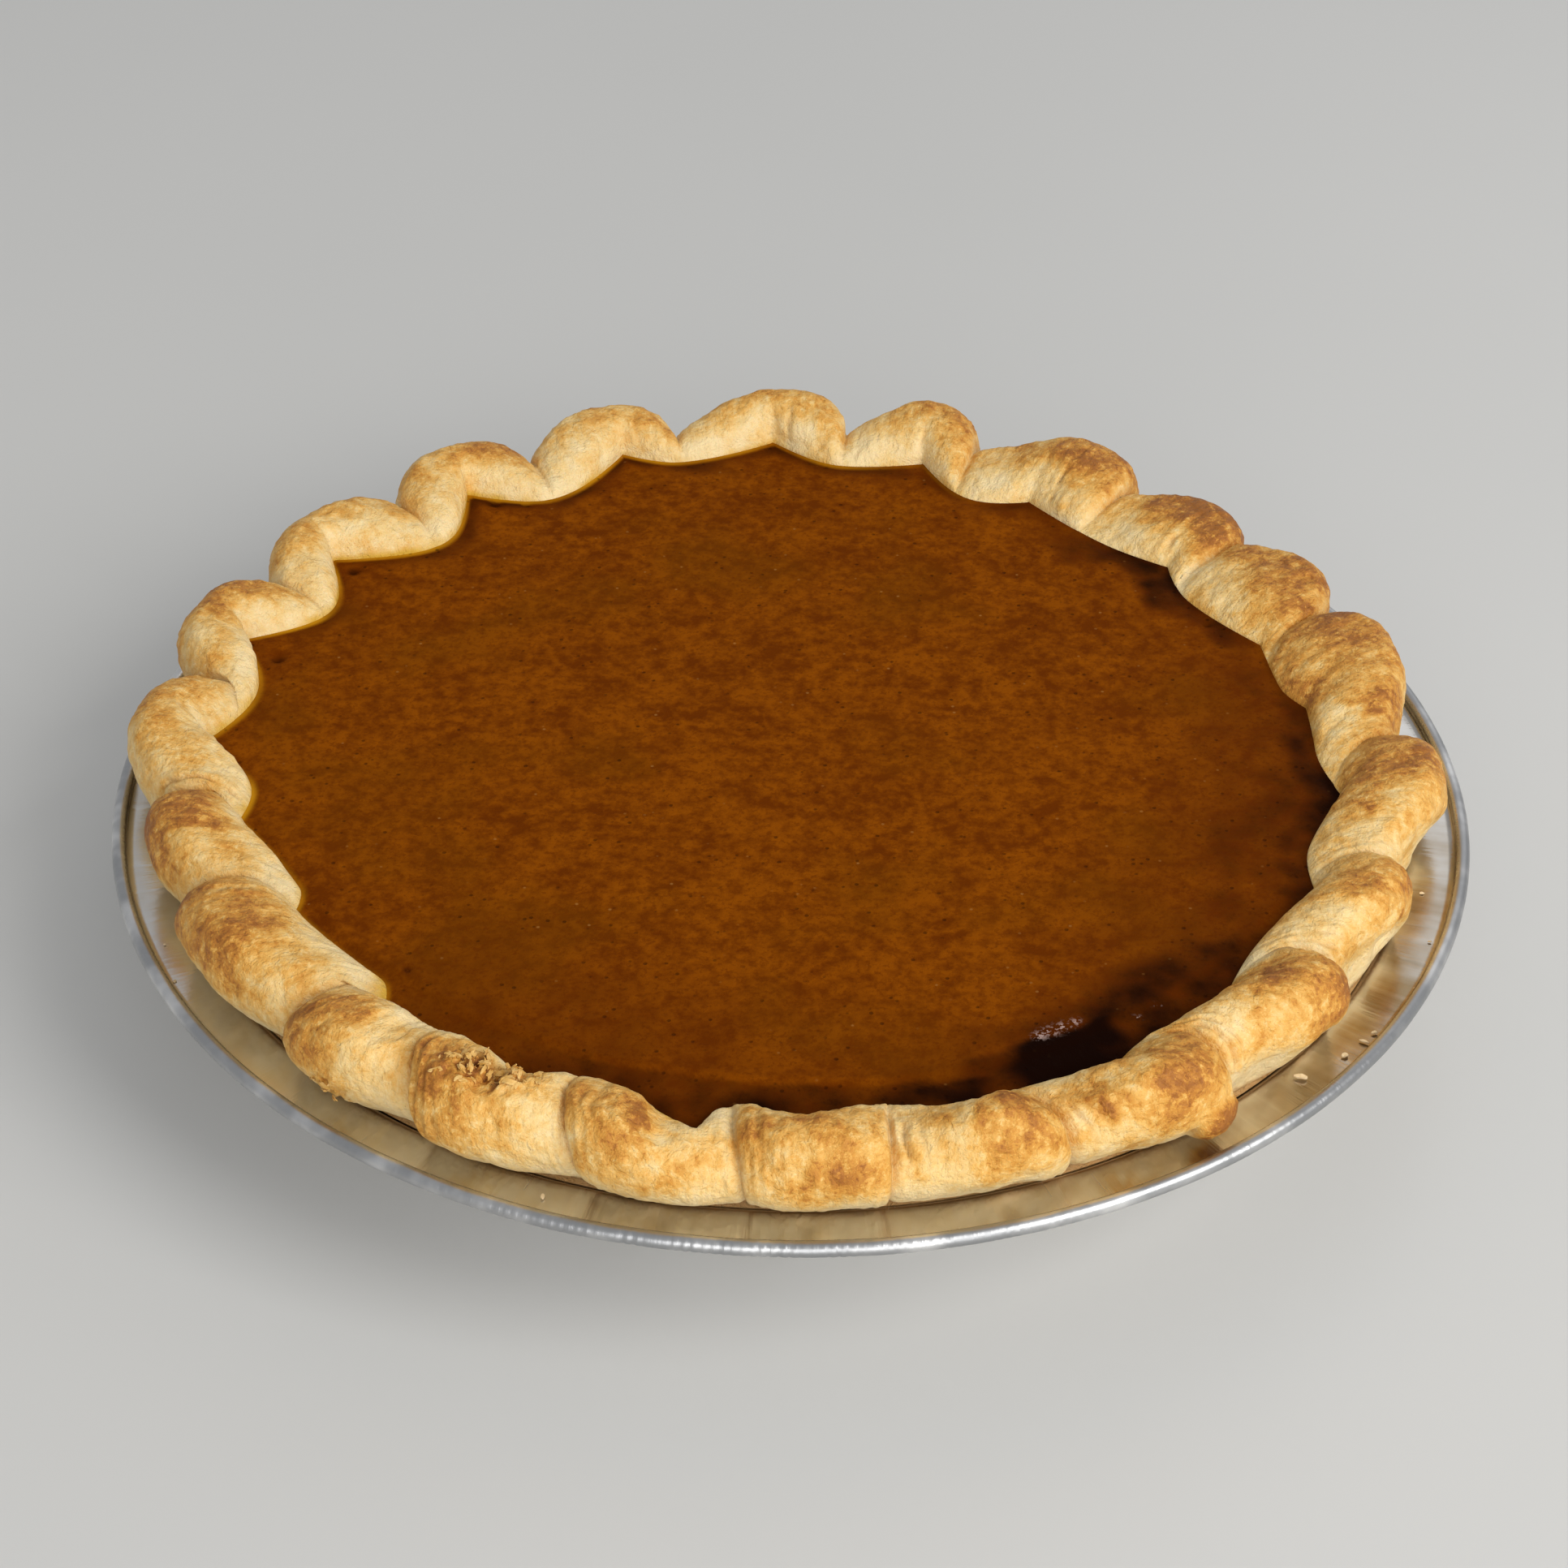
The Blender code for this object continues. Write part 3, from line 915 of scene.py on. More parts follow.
def arc(centre: tuple[float, float], radius: float, start: float, stop: float,
        count: int) -> list[tuple[float, float]]:
    """Points on an arc of the section, between two angles in degrees."""
    angles = np.radians(np.linspace(start, stop, count))
    return [(centre[0] + radius * math.cos(a), centre[1] + radius * math.sin(a)) for a in angles]


@dataclass(frozen=True)
class Ribs:
    """The ribs' measures, each a column with one number for each rib.

    outer and inner are its bearings at the foot and at the custard, and the gaps how far its
    flute reaches there, in degrees.  share is how far it stands from the crease before to the
    one after; lean and depth are those creases'; on_top is 1 on a side that lies on top and -1
    below.  plump is how full the flute is there and bake how brown.  The rest is in metres.
    """

    outer: Array
    inner: Array
    outer_gap: Array
    inner_gap: Array
    share: Array
    lean: Array
    depth: Array
    on_top: Array
    plump: Array
    bake: Array
    reach: Array
    crown: Array
    ridge: Array
    foot: Array


@dataclass(frozen=True)
class Rim:
    """Sizes of the fluted rim, in metres, and its shape at every bearing.

    under, mid and over say how many points the section has below the belly, up to the crown
    and on to the custard.
    """

    tin: Tin
    fit: float = 0.3 * MM
    shell: float = 4.5 * MM
    level: float = 41.5 * MM
    neck_foot: float = 113.4 * MM
    shoulder: float = 6.0 * MM
    belly_share: float = 0.52
    edge_depth: float = 1.0 * MM
    edge_drop: float = 3.0 * MM
    edge_spread: float = 0.8 * MM
    flute_foot: float = 1.0 * MM
    gather: float = 0.45
    per_flute: int = 64
    under: int = 12
    mid: int = 23
    over: int = 28

    def ribs(self) -> Ribs:
        """Every rib's measures: where it stands and how its flute shapes it.

        A flute's ribs run from the crease before it to the crease after it, closer together
        beside the creases.

        Returns:
            The measures.
        """
        even = np.arange(self.per_flute * len(FLUTES))[:, None] / self.per_flute
        here = np.round(even).astype(int)
        ends = (even - here) * 2.0
        offset = ends * (1 - self.gather) + np.sin(ends * math.pi / 2) * self.gather
        share = (offset + 1) / 2

        def of(items: tuple, name: str, which: Array) -> Array:
            """A measure of the chosen flute or crease at each rib."""
            return np.array([getattr(item, name) for item in items])[which % len(items)]

        def between(name: str) -> Array:
            """A crease's measure, blended from the crease before to the crease after."""
            start = of(CREASES, name, here - 1)
            return start + (of(CREASES, name, here) - start) * share

        outer, inner = of(CREASES, "outer", here - 1), of(CREASES, "inner", here - 1)
        outer_gap = turn(of(CREASES, "outer", here), outer)
        inner_gap = turn(of(CREASES, "inner", here), inner)
        outer, inner = outer + outer_gap * share, inner + inner_gap * share
        low_top = of(CREASES, "side", here - 1) == 1
        high_top = of(CREASES, "side", here) == -1
        skew = of(FLUTES, "skew", here)
        full = np.clip(offset - skew * (1 - offset ** 2), -1.0, 1.0)
        head = np.where(full < 0, low_top, high_top)
        plump = np.where(head, (1 - np.abs(full) ** 2.6) ** 0.5, (1 - full ** 2) ** 1.1)
        arch = np.where(head, (1 - np.abs(full) ** 2.4) ** 0.55, (1 - full ** 2) ** 0.95)
        reach, crown = of(FLUTES, "reach", here) * MM, of(FLUTES, "crown", here) * MM
        low, near, ridge = (between(name) * MM for name in ("neck", "reach", "ridge"))
        drop, push = (sum(getattr(dip, name) * MM * bell(turn(outer, dip.bearing), dip.spread)
                          for dip in DIPS) for name in ("drop", "push"))
        return Ribs(
            outer, inner, outer_gap, inner_gap, share, between("lean"),
            depth=of(CREASES, "depth", np.where(offset < 0, here - 1, here)),
            on_top=np.where(np.where(offset < 0, low_top, high_top), 1.0, -1.0),
            plump=plump,
            bake=of(FLUTES, "bake", here),
            reach=near + (reach - near) * plump,
            crown=low + (crown - low) * arch - drop,
            ridge=ridge + (reach - self.shoulder - ridge) * arch + push,
            foot=self.neck_foot + self.flute_foot * plump,
        )

    @staticmethod
    def bearings(ribs: Ribs, place: Array) -> Array:
        """Bearing of each rib's points.

        Args:
            ribs: The ribs' measures.
            place: The points' places along the section.

        Returns:
            The bearings, in degrees.
        """
        rise = ribs.lean * unit(place / 2.0) ** (3.9 - 2.4 * ribs.lean)
        dive = (1 - ribs.lean) * unit(place - 2.0) ** 1.3
        return ribs.outer + turn(ribs.inner, ribs.outer) * (rise + dive)

    @staticmethod
    def edge(bearing: Array) -> Array:
        """Radius of the rim's inner edge: sharp cusps with round bulges between them.

        Args:
            bearing: Bearings in degrees.

        Returns:
            The radii, in metres.
        """
        radius = np.zeros_like(bearing)
        for here, crease in enumerate(CREASES):
            for cusp in (FLUTES[here], FLUTES[(here + 1) % len(FLUTES)]):
                share = turn(bearing, cusp.cusp) / float(turn(crease.apex, cusp.cusp))
                round_off = np.sin(unit(share) * math.pi / 2) ** 0.9
                bulged = cusp.scallop + (crease.bulge - cusp.scallop) * round_off
                radius = np.where((share >= 0.0) & (share <= 1.0), bulged * MM, radius)
        return radius

    def section(self, ribs: Ribs) -> tuple[Array, Array, Array, Array]:
        """The rim's section at each rib, from its foot over the crown to under the custard.

        Args:
            ribs: The ribs' measures.

        Returns:
            Bearing, radius, height and place along the section: 0 to 1 from foot to belly, to 2
            at the crown, to 3 at the custard's level.
        """
        foot_level = self.tin.flange_top + self.fit
        belly = foot_level + self.belly_share * (ribs.crown - foot_level)
        t = np.linspace(0.0, 1.0, self.under)[None, :-1]
        low = 0.02 + 0.14 * (1 - ribs.plump)
        out, lift = (3 * (1 - t) ** 2 * t * first + 3 * (1 - t) * t ** 2 * second + t ** 3
                     for first, second in ((0.22, 0.95), (low, 0.46)))
        a = np.radians(np.linspace(0.0, 90.0, self.mid))[None, :-1]
        s = np.linspace(0.0, 1.0, self.over)[None, :]
        place = np.concatenate([t, 1 + a / (math.pi / 2), 2 + s], axis=1) + 0 * ribs.share
        bearing = self.bearings(ribs, place)
        base = self.level - self.edge_depth
        last = np.arcsin(self.edge_depth / (ribs.crown - base))
        b = math.pi / 2 - (math.pi / 2 - last) * s
        width = (ribs.ridge - self.edge(bearing[:, -1:])) / np.cos(last)
        radius = np.concatenate([ribs.foot + (ribs.reach - ribs.foot) * out,
                                 ribs.ridge + (ribs.reach - ribs.ridge) * np.cos(a),
                                 ribs.ridge - width * np.cos(b)], axis=1)
        height = np.concatenate([foot_level + (belly - foot_level) * lift,
                                 belly + (ribs.crown - belly) * np.sin(a),
                                 base + (ribs.crown - base) * np.sin(b)], axis=1)
        return bearing, radius, height, place

    def floor_corner(self, gap: float) -> tuple[float, float]:
        """Where the inside of the shell turns from its wall to its floor.

        Args:
            gap: How far inside the shell, in metres.

        Returns:
            The radius and the height.
        """
        floor = self.tin.sheet + self.fit + self.shell + gap
        lean = math.cos(self.tin.flare())
        return self.tin.wall_radius(floor) - self.shell / lean - gap, floor


@dataclass(frozen=True)
class Patch:
    """A softly bounded round place on the pie.

    bearing is in degrees; radius, height and across are in millimetres; strength says how much
    the patch does.
    """

    bearing: float
    radius: float
    height: float
    across: float
    strength: float = 1.0

    def heart(self) -> Vector:
        """The patch's middle, in metres."""
        return polar(self.bearing, self.radius * MM, self.height * MM)

    def away(self, points: Array) -> Array:
        """Each point's distance from the patch's middle, counted in its width."""
        return np.linalg.norm(points - np.array(self.heart()), axis=-1) / (self.across * MM)

    def share(self, points: Array) -> Array:
        """How much of the patch each point has, from 0 outside to its strength in its middle."""
        return self.strength * np.exp(-self.away(points) ** 2 * 1.5)


def covered(patches: Sequence[Patch], points: Array) -> Array:
    """The sum of some patches' shares at each point."""
    return sum(patch.share(points) for patch in patches)


# Brown and pale patches on the rim: bearing, radius, height and width in millimetres, then
# strength.  They hold real browning and painted shade, darker where crease hollows, low faces and
# flutes stand in shade.
BROWNING_AND_SHADE = rows(
    Patch, (187.0, 121, 42, 7, -0.10), (195.5, 112, 46, 6, -0.12), (200.5, 120, 39, 6, 0.36),
    (209.5, 113, 46, 5, -0.10), (214.5, 119, 40, 7, 0.20), (224.5, 115, 45, 7, 0.20),
    (229.0, 118, 42, 6, 0.14), (236.0, 118, 42, 5, -0.08), (241.6, 116, 44, 5, 0.14),
    (243.5, 121, 35, 4, 0.20), (245.5, 119, 41, 3.2, -0.20), (249.0, 119, 42, 4, 0.12),
    (252.8, 118, 41, 4.5, -0.28), (256.0, 119, 41, 6, 0.30), (258.5, 115, 46, 5, 0.24),
    (262.8, 117, 43, 7, 0.14), (268.5, 118, 42, 5, -0.10), (272.8, 121, 39, 4.5, 0.04),
    (275.2, 119, 43, 4.5, 0.16), (271.5, 114, 47.5, 3, 0.22), (276.0, 121, 33, 5, -0.20),
    (280.0, 119, 42, 4.5, 0.16), (283.8, 114, 47, 3.5, 0.24), (283.3, 119, 41, 4, -0.14),
    (288.5, 114, 48, 6, 0.20), (290.5, 118, 44, 5, 0.12), (294.0, 118, 42, 2.6, -0.30),
    (296.0, 118, 43, 3.5, 0.25), (300.5, 116, 45, 6, 0.16), (304.5, 114, 46, 5, 0.14),
    (300.0, 121, 33, 6, 0.26), (298.5, 118, 36, 5, 0.24), (310.8, 112, 45, 4.5, -0.32),
    (313.8, 113, 46.5, 4, 0.34), (318.8, 110, 47.5, 5, 0.18), (321.8, 118, 42, 4, 0.20),
    (313.0, 119, 34, 6, -0.20), (323.0, 106, 46, 4, 0.12), (327.0, 110, 45, 4.5, -0.28),
    (331.5, 108, 47, 4, 0.03), (334.2, 111, 46.5, 3.5, 0.16), (336.5, 116, 42, 4, 0.12),
    (343.5, 110, 46, 5, -0.20), (347.5, 108, 46, 5, 0.12), (354.0, 113, 46, 6, 0.14),
    (3.0, 110, 44, 8, 0.40), (11.5, 114, 47, 7, 0.16), (22.0, 110, 47, 7, 0.34),
    (33.0, 113, 45, 9, 0.16), (45.0, 113, 45, 9, 0.20),
)


@dataclass(frozen=True)
class Dough:
    """The rim before its relief: its points, their bearings in degrees and what shapes them.

    ribs holds the measures of the grid's rows, and place says where each point is along the
    section.  away is its distance from the nearest crease, in metres; above is that distance on
    the flute that lies on top, and negative on the one below; depth is the crease's strength.
    """

    grid: Array
    bearing: Array
    ribs: Ribs
    place: Array
    away: Array
    above: Array
    depth: Array


@dataclass
class Crust:
    """The pastry: the shell in the tin and its fluted rim.

    torn, knob, cleft and dents are places on the rim; a dent's strength is its depth in
    millimetres.  swell, pleat_wander and wrinkling list the noise that shapes its lumps, the
    run of its pleats and its wrinkles, and torn_layers the blistered noise that roughens a
    tear, sunk by torn_sink millimetres.  blister is a blister's width in millimetres.  A
    pleat has a lip on either side, lip_away from its bottom.  Furrows are the fine wrinkles
    beside a crease.  rope is the radius at which lengths along the rim are counted.
    """

    rim: Rim
    torn: tuple = rows(Patch, (242.2, 114.0, 48.0, 4.6, 0.8), (244.9, 113.0, 48.6, 4.8),
                       (247.2, 112.6, 48.0, 3.8, 0.8), (230.9, 120.6, 36.0, 4.4))
    knob: Patch = Patch(305.9, 120.4, 34.6, 4.8)
    knob_height: float = 2.4 * MM
    cleft: Patch = Patch(303.2, 121.0, 33.4, 1.6)
    cleft_depth: float = 2.4 * MM
    dents: tuple = rows(
        Patch, (259.6, 117.6, 30.4, 2.2, 1.5), (271.4, 117.6, 30.2, 1.8, 1.2),
        (288.5, 117.8, 31.0, 2.8, 2.6), (319.8, 118.0, 32.5, 4.2, 3.6),
        (312.5, 118.5, 33.0, 8.0, 1.6), (334.6, 117.4, 34.5, 4.4, 4.0),
        (329.5, 118.0, 36.0, 8.0, 2.0), (349.9, 119.4, 35.0, 4.6, 4.0),
        (345.5, 119.0, 36.0, 8.0, 2.2))
    swell: Layers = ((11, 14.0, 0.60), (12, 6.5, 0.36), (14, 1.6, 0.13))
    pleat_wander: Layers = ((28, 7.0, 1.1), (29, 2.6, 0.35))
    wrinkling: Layers = ((26, 3.6, 0.30), (27, 1.7, 0.15))
    blister: float = 3.2
    blister_height: float = 0.28 * MM
    torn_layers: tuple = ((15, 2.6, 2.2), (16, 1.2, 1.0))
    torn_sink: float = 0.4
    torn_stretch: float = 1.6
    pleat_depth: float = 0.75 * MM
    pleat_width: float = 0.42 * MM
    lip_away: float = 1.1 * MM
    lip_width: float = 0.6 * MM
    lip_share: float = 0.55
    crease_depth: float = 1.0 * MM
    crease_width: float = 1.1 * MM
    furrow_depth: float = 0.26 * MM
    furrow_pitch: float = 1.7 * MM
    furrow_reach: float = 3.4 * MM
    rope: float = 118.0 * MM
    grain_radius: float = 116.0 * MM
    grain_draw: float = 3.6 * MM
    skin: Array = field(init=False, default=None)
    outward: Array = field(init=False, default=None)

    def build(self, finish: CrustFinish) -> bpy.types.Object:
        """Model the crust and dress it.

        Args:
            finish: The pastry's finish.

        Returns:
            The crust.
        """
        dough = self.dough()
        pleats = self.pleats(dough)
        relief = self.relief(dough) - pleats * self.pleat_depth
        relief = relief * smooth(dough.place, 0.0, 0.35) * smooth(dough.place, 3.0, 2.75)
        grid = dough.grid + surface_normals(dough.grid) * relief[:, :, None]
        grid[:, :, 2] = np.maximum(grid[:, :, 2], self.rim.tin.flange_top + self.rim.fit)
        self.skin, self.outward = grid, surface_normals(grid)
        before, after = self.shell(dough)
        floor = self.rim.tin.sheet + self.rim.fit
        mesh = ring_mesh("fluted_crust", np.concatenate([before, grid, after], axis=1),
                         Vector((0, 0, floor)), Vector((0, 0, floor + self.rim.shell)))
        for grain, stored in self.colouring(dough, pleats).items():
            lead = np.repeat(stored[:, :1], before.shape[1], axis=1)
            tail = np.repeat(stored[:, -1:], after.shape[1], axis=1)
            store(mesh, grain, np.concatenate([lead, stored, tail], axis=1))
        return place_piece("fluted_crust", mesh, finish.material(), "crust")

    def dough(self) -> Dough:
        """The smooth rim, and how each of its points lies to the nearest crease.

        Returns:
            The rim before its relief.
        """
        ribs = self.rim.ribs()
        bearing, radius, height, place = self.rim.section(ribs)
        inner = unit(place - 2.0)
        gap = ribs.outer_gap * (1 - inner) + ribs.inner_gap * inner
        away = np.radians(gap) * np.minimum(ribs.share, 1 - ribs.share) * radius
        depth = ribs.depth * (0.30 + 0.70 * smooth(place, 2.8, 1.8))
        grid = round_axis(radius, np.radians(bearing), height)
        return Dough(grid, bearing, ribs, place, away, away * ribs.on_top, depth)

    def nearest(self, point: Vector) -> tuple[Vector, Vector]:
        """The place of the finished skin nearest to a point.

        Args:
            point: Any point.

        Returns:
            That place, and which way the skin faces there.
        """
        away = np.linalg.norm(self.skin - np.array(point), axis=-1)
        row, column = np.unravel_index(np.argmin(away), away.shape)
        return Vector(self.skin[row, column]), Vector(self.outward[row, column])

    def shell(self, dough: Dough) -> tuple[Array, Array]:
        """The hidden shell in the tin, which closes the rim.

        Args:
            dough: The smooth rim.

        Returns:
            The columns before the rim, on the shell's underside, and those after it, inside.
        """
        rim, bearing = self.rim, dough.bearing
        base, mouth = rim.tin.bends(rim.fit, 3)
        tucked = (np.minimum(mouth[1][0], dough.ribs.foot - rim.fit), mouth[1][1])
        edge = (rim.edge(bearing[:, -1:]) + rim.edge_spread, rim.level - rim.edge_drop)
        first, last = np.radians(bearing[:, :1]), np.radians(bearing[:, -1:])
        return (upright(first, base + mouth[:1] + [tucked]),
                upright(last, [edge, rim.floor_corner(0.0)]))

    def pleats(self, dough: Dough) -> Array:
        """How deep each point lies in a pleat.

        Args:
            dough: The smooth rim.

        Returns:
            1 at a pleat's bottom, and below 0 on its lips.
        """
        place = dough.place
        wander = lumps(dough.grid, self.pleat_wander)
        total = np.zeros(place.shape)
        for pleat in PLEATS:
            away = np.radians(turn(dough.ribs.outer, pleat.bearing)) * self.rope + wander
            lips = bell(np.abs(away) - self.lip_away, self.lip_width) * self.lip_share
            cut = bell(away, self.pleat_width) - lips
            along = smooth(place, pleat.low, pleat.low + 0.5)
            total += pleat.depth * cut * along * smooth(place, pleat.high, pleat.high - 0.5)
        return total * smooth(Noise(25)(dough.grid, 4.5), -0.55, 0.25)

    def relief(self, dough: Dough) -> Array:
        """Height of the lumps, blisters, folds and tears above the smooth rim.

        Args:
            dough: The smooth rim.

        Returns:
            The heights, in metres.
        """
        grid = dough.grid
        proud = dough.ribs.plump * smooth(grid[:, :, 2], 33.0 * MM, 44.0 * MM)
        relief = lumps(grid, self.swell) + self.creasing(dough)
        blisters = Noise(13).blistered(grid, self.blister) * self.blister_height
        relief += blisters * (0.35 + 0.65 * proud)
        relief += self.wrinkles(dough) + self.tearing(grid)
        relief += np.sqrt(unit(1 - self.knob.away(grid) ** 2)) * self.knob_height
        relief -= covered(self.dents, grid) * MM
        return relief - self.cleft.share(grid) * self.cleft_depth

    def creasing(self, dough: Dough) -> Array:
        """Heights of the creases, with fine wrinkles beside them.

        Args:
            dough: The smooth rim.

        Returns:
            The heights, in metres.
        """
        below = np.maximum(-dough.above, 0.0)
        dip = -self.crease_depth * bell(below, self.crease_width) * (dough.above < 0)
        drift = Noise(21)(dough.grid, 8.0) * MM
        near = np.exp(-dough.away / self.furrow_reach) * smooth(dough.away, 0.3 * MM, 1.4 * MM)
        fine = np.sin(math.tau * (dough.away + drift) / self.furrow_pitch) * near
        broken = smooth(Noise(22)(dough.grid, 5.0), -0.4, 0.4)
        return dough.depth * (dip + fine * broken * self.furrow_depth)

    def flow(self, dough: Dough) -> Array:
        """Places that follow the dough: round the rope at full size, across it drawn out."""
        angle = np.radians(dough.ribs.outer)
        return round_axis(self.grain_radius, angle, dough.place * self.grain_draw)

    def wrinkles(self, dough: Dough) -> Array:
        """Heights of soft wrinkles that run across the rope, stronger on its inner face.

        Args:
            dough: The smooth rim.

        Returns:
            The heights, in metres.
        """
        patchy = 0.4 + 0.6 * smooth(Noise(24)(dough.grid, 10.0), -0.4, 0.4)
        inner = 0.5 + 0.7 * smooth(dough.place, 1.9, 2.5)
        return lumps(self.flow(dough), self.wrinkling) * inner * patchy

    def tearing(self, grid: Array) -> Array:
        """Heights of the ragged layers where the pastry tore.

        Args:
            grid: The smooth rim's points.

        Returns:
            The heights, in metres.
        """
        (coarse, wide, tall), (fine, narrow, low) = self.torn_layers
        ragged = Noise(coarse).blistered(grid * [1.0, 1.0, self.torn_stretch], wide) * tall
        ragged = ragged + Noise(fine).blistered(grid, narrow) * low - self.torn_sink
        return ragged * MM * unit(covered(self.torn, grid))

    def colouring(self, dough: Dough, pleats: Array) -> dict[Grain, Array]:
        """Where the pastry is brown or soaked with custard, and where shade and light are painted
        on it.

        Args:
            dough: The smooth rim.
            pleats: How deep each point lies in a pleat.

        Returns:
            The values to store on the vertices, by name.
        """
        grid, ribs, place = dough.grid, dough.ribs, dough.place
        patchy = Noise(31).layered(grid, 9.0, 3)
        high = smooth(grid[:, :, 2], 31.0 * MM, 42.0 * MM)
        head = smooth(dough.above, -0.4 * MM, 1.6 * MM) * smooth(dough.away, 26 * MM, 7 * MM)
        left = smooth(-grid[:, :, 0], -40.0 * MM, 60.0 * MM)
        behind = smooth(grid[:, :, 1], 20.0 * MM, 80.0 * MM)
        # Painted light and shade: the inner faces are painted paler, most on the left and at the
        # back, where light falls on them, and least on the right, where they stand in shade;
        # crests at the back are browner.
        faced = 1.0 - (0.25 + 0.50 * np.maximum(left, behind)) * smooth(place, 2.15, 2.65)
        faced = faced + 0.20 * behind * smooth(place, 2.45, 2.1)
        bake = ribs.bake * high * faced * (0.40 + 0.34 * ribs.plump + 0.34 * head)
        bake = 0.05 + bake + patchy * 0.20 * (0.25 + high)
        broken = 0.80 + 1.1 * patchy + 0.9 * Noise(32)(grid, 2.6)
        # The patches add real browning and painted shade.
        bake = bake + covered(BROWNING_AND_SHADE, grid) * np.clip(broken, 0.0, 1.8)
        tearing = self.tearing(grid) / MM
        torn = unit(covered(self.torn, grid))
        # Painted light and shade on the tears: raised layers paler, crevices darker.
        bake = bake * (1 - 0.6 * torn) + torn * 0.50 - tearing * 0.22
        bake = bake + 0.75 * smooth(self.knob.away(grid), 1.1, 0.7)
        above = grid[:, :, 2] - self.rim.level
        soak = smooth(above, 1.6 * MM, 0.2 * MM) * smooth(place, 2.3, 2.6)
        soak = soak * (0.10 + 0.80 * left) * (0.65 + 1.0 * patchy)
        # Painted shade: darker in creases, pleats, the cleft and the crevices of tears, and a
        # painted shadow along the foot under the rim's edge.
        crease = bell(dough.away, 0.40 * MM) * dough.depth * 0.6
        crease = crease + unit(pleats) * 0.7 + self.cleft.share(grid)
        crease = crease + torn * unit(-tearing) + smooth(place, 0.34, 0.05)
        return {Grain.BAKE_AND_SHADE: unit(bake), Grain.SOAK: unit(soak), Grain.HOLLOW_SHADE: unit(crease),
                Grain.FLOW: self.flow(dough)}


# --- custard ---

@dataclass(frozen=True)
class Skin:
    """The custard's skin laid flat: its points, their radii and their bearings in degrees.

    inward is each point's distance from the skin's edge, in metres.
    """

    flat: Array
    radius: Array
    bearing: Array
    inward: Array


@dataclass(frozen=True)
class Stretch:
    """A dark stretch of the custard's skin.

    It begins at start and is full at full, in millimetres from the pie's axis, or from the
    skin's edge where from_edge is true.  It lies at a bearing, over a spread, in degrees.
    ragged says how far its border wanders.
    """

    start: float
    full: float
    bearing: float
    spread: float
    strength: float
    ragged: float = 0.0
    from_edge: bool = False

    def share(self, skin: Skin, wander: Array) -> Array:
        """How dark the stretch makes each point.

        Args:
            skin: The points.
            wander: How far a ragged border wanders at each.

        Returns:
            The shares, up to the stretch's strength.
        """
        place = (skin.inward if self.from_edge else skin.radius) + wander * self.ragged
        way = bell(turn(skin.bearing, self.bearing), self.spread)
        return self.strength * smooth(place, self.start * MM, self.full * MM) * way


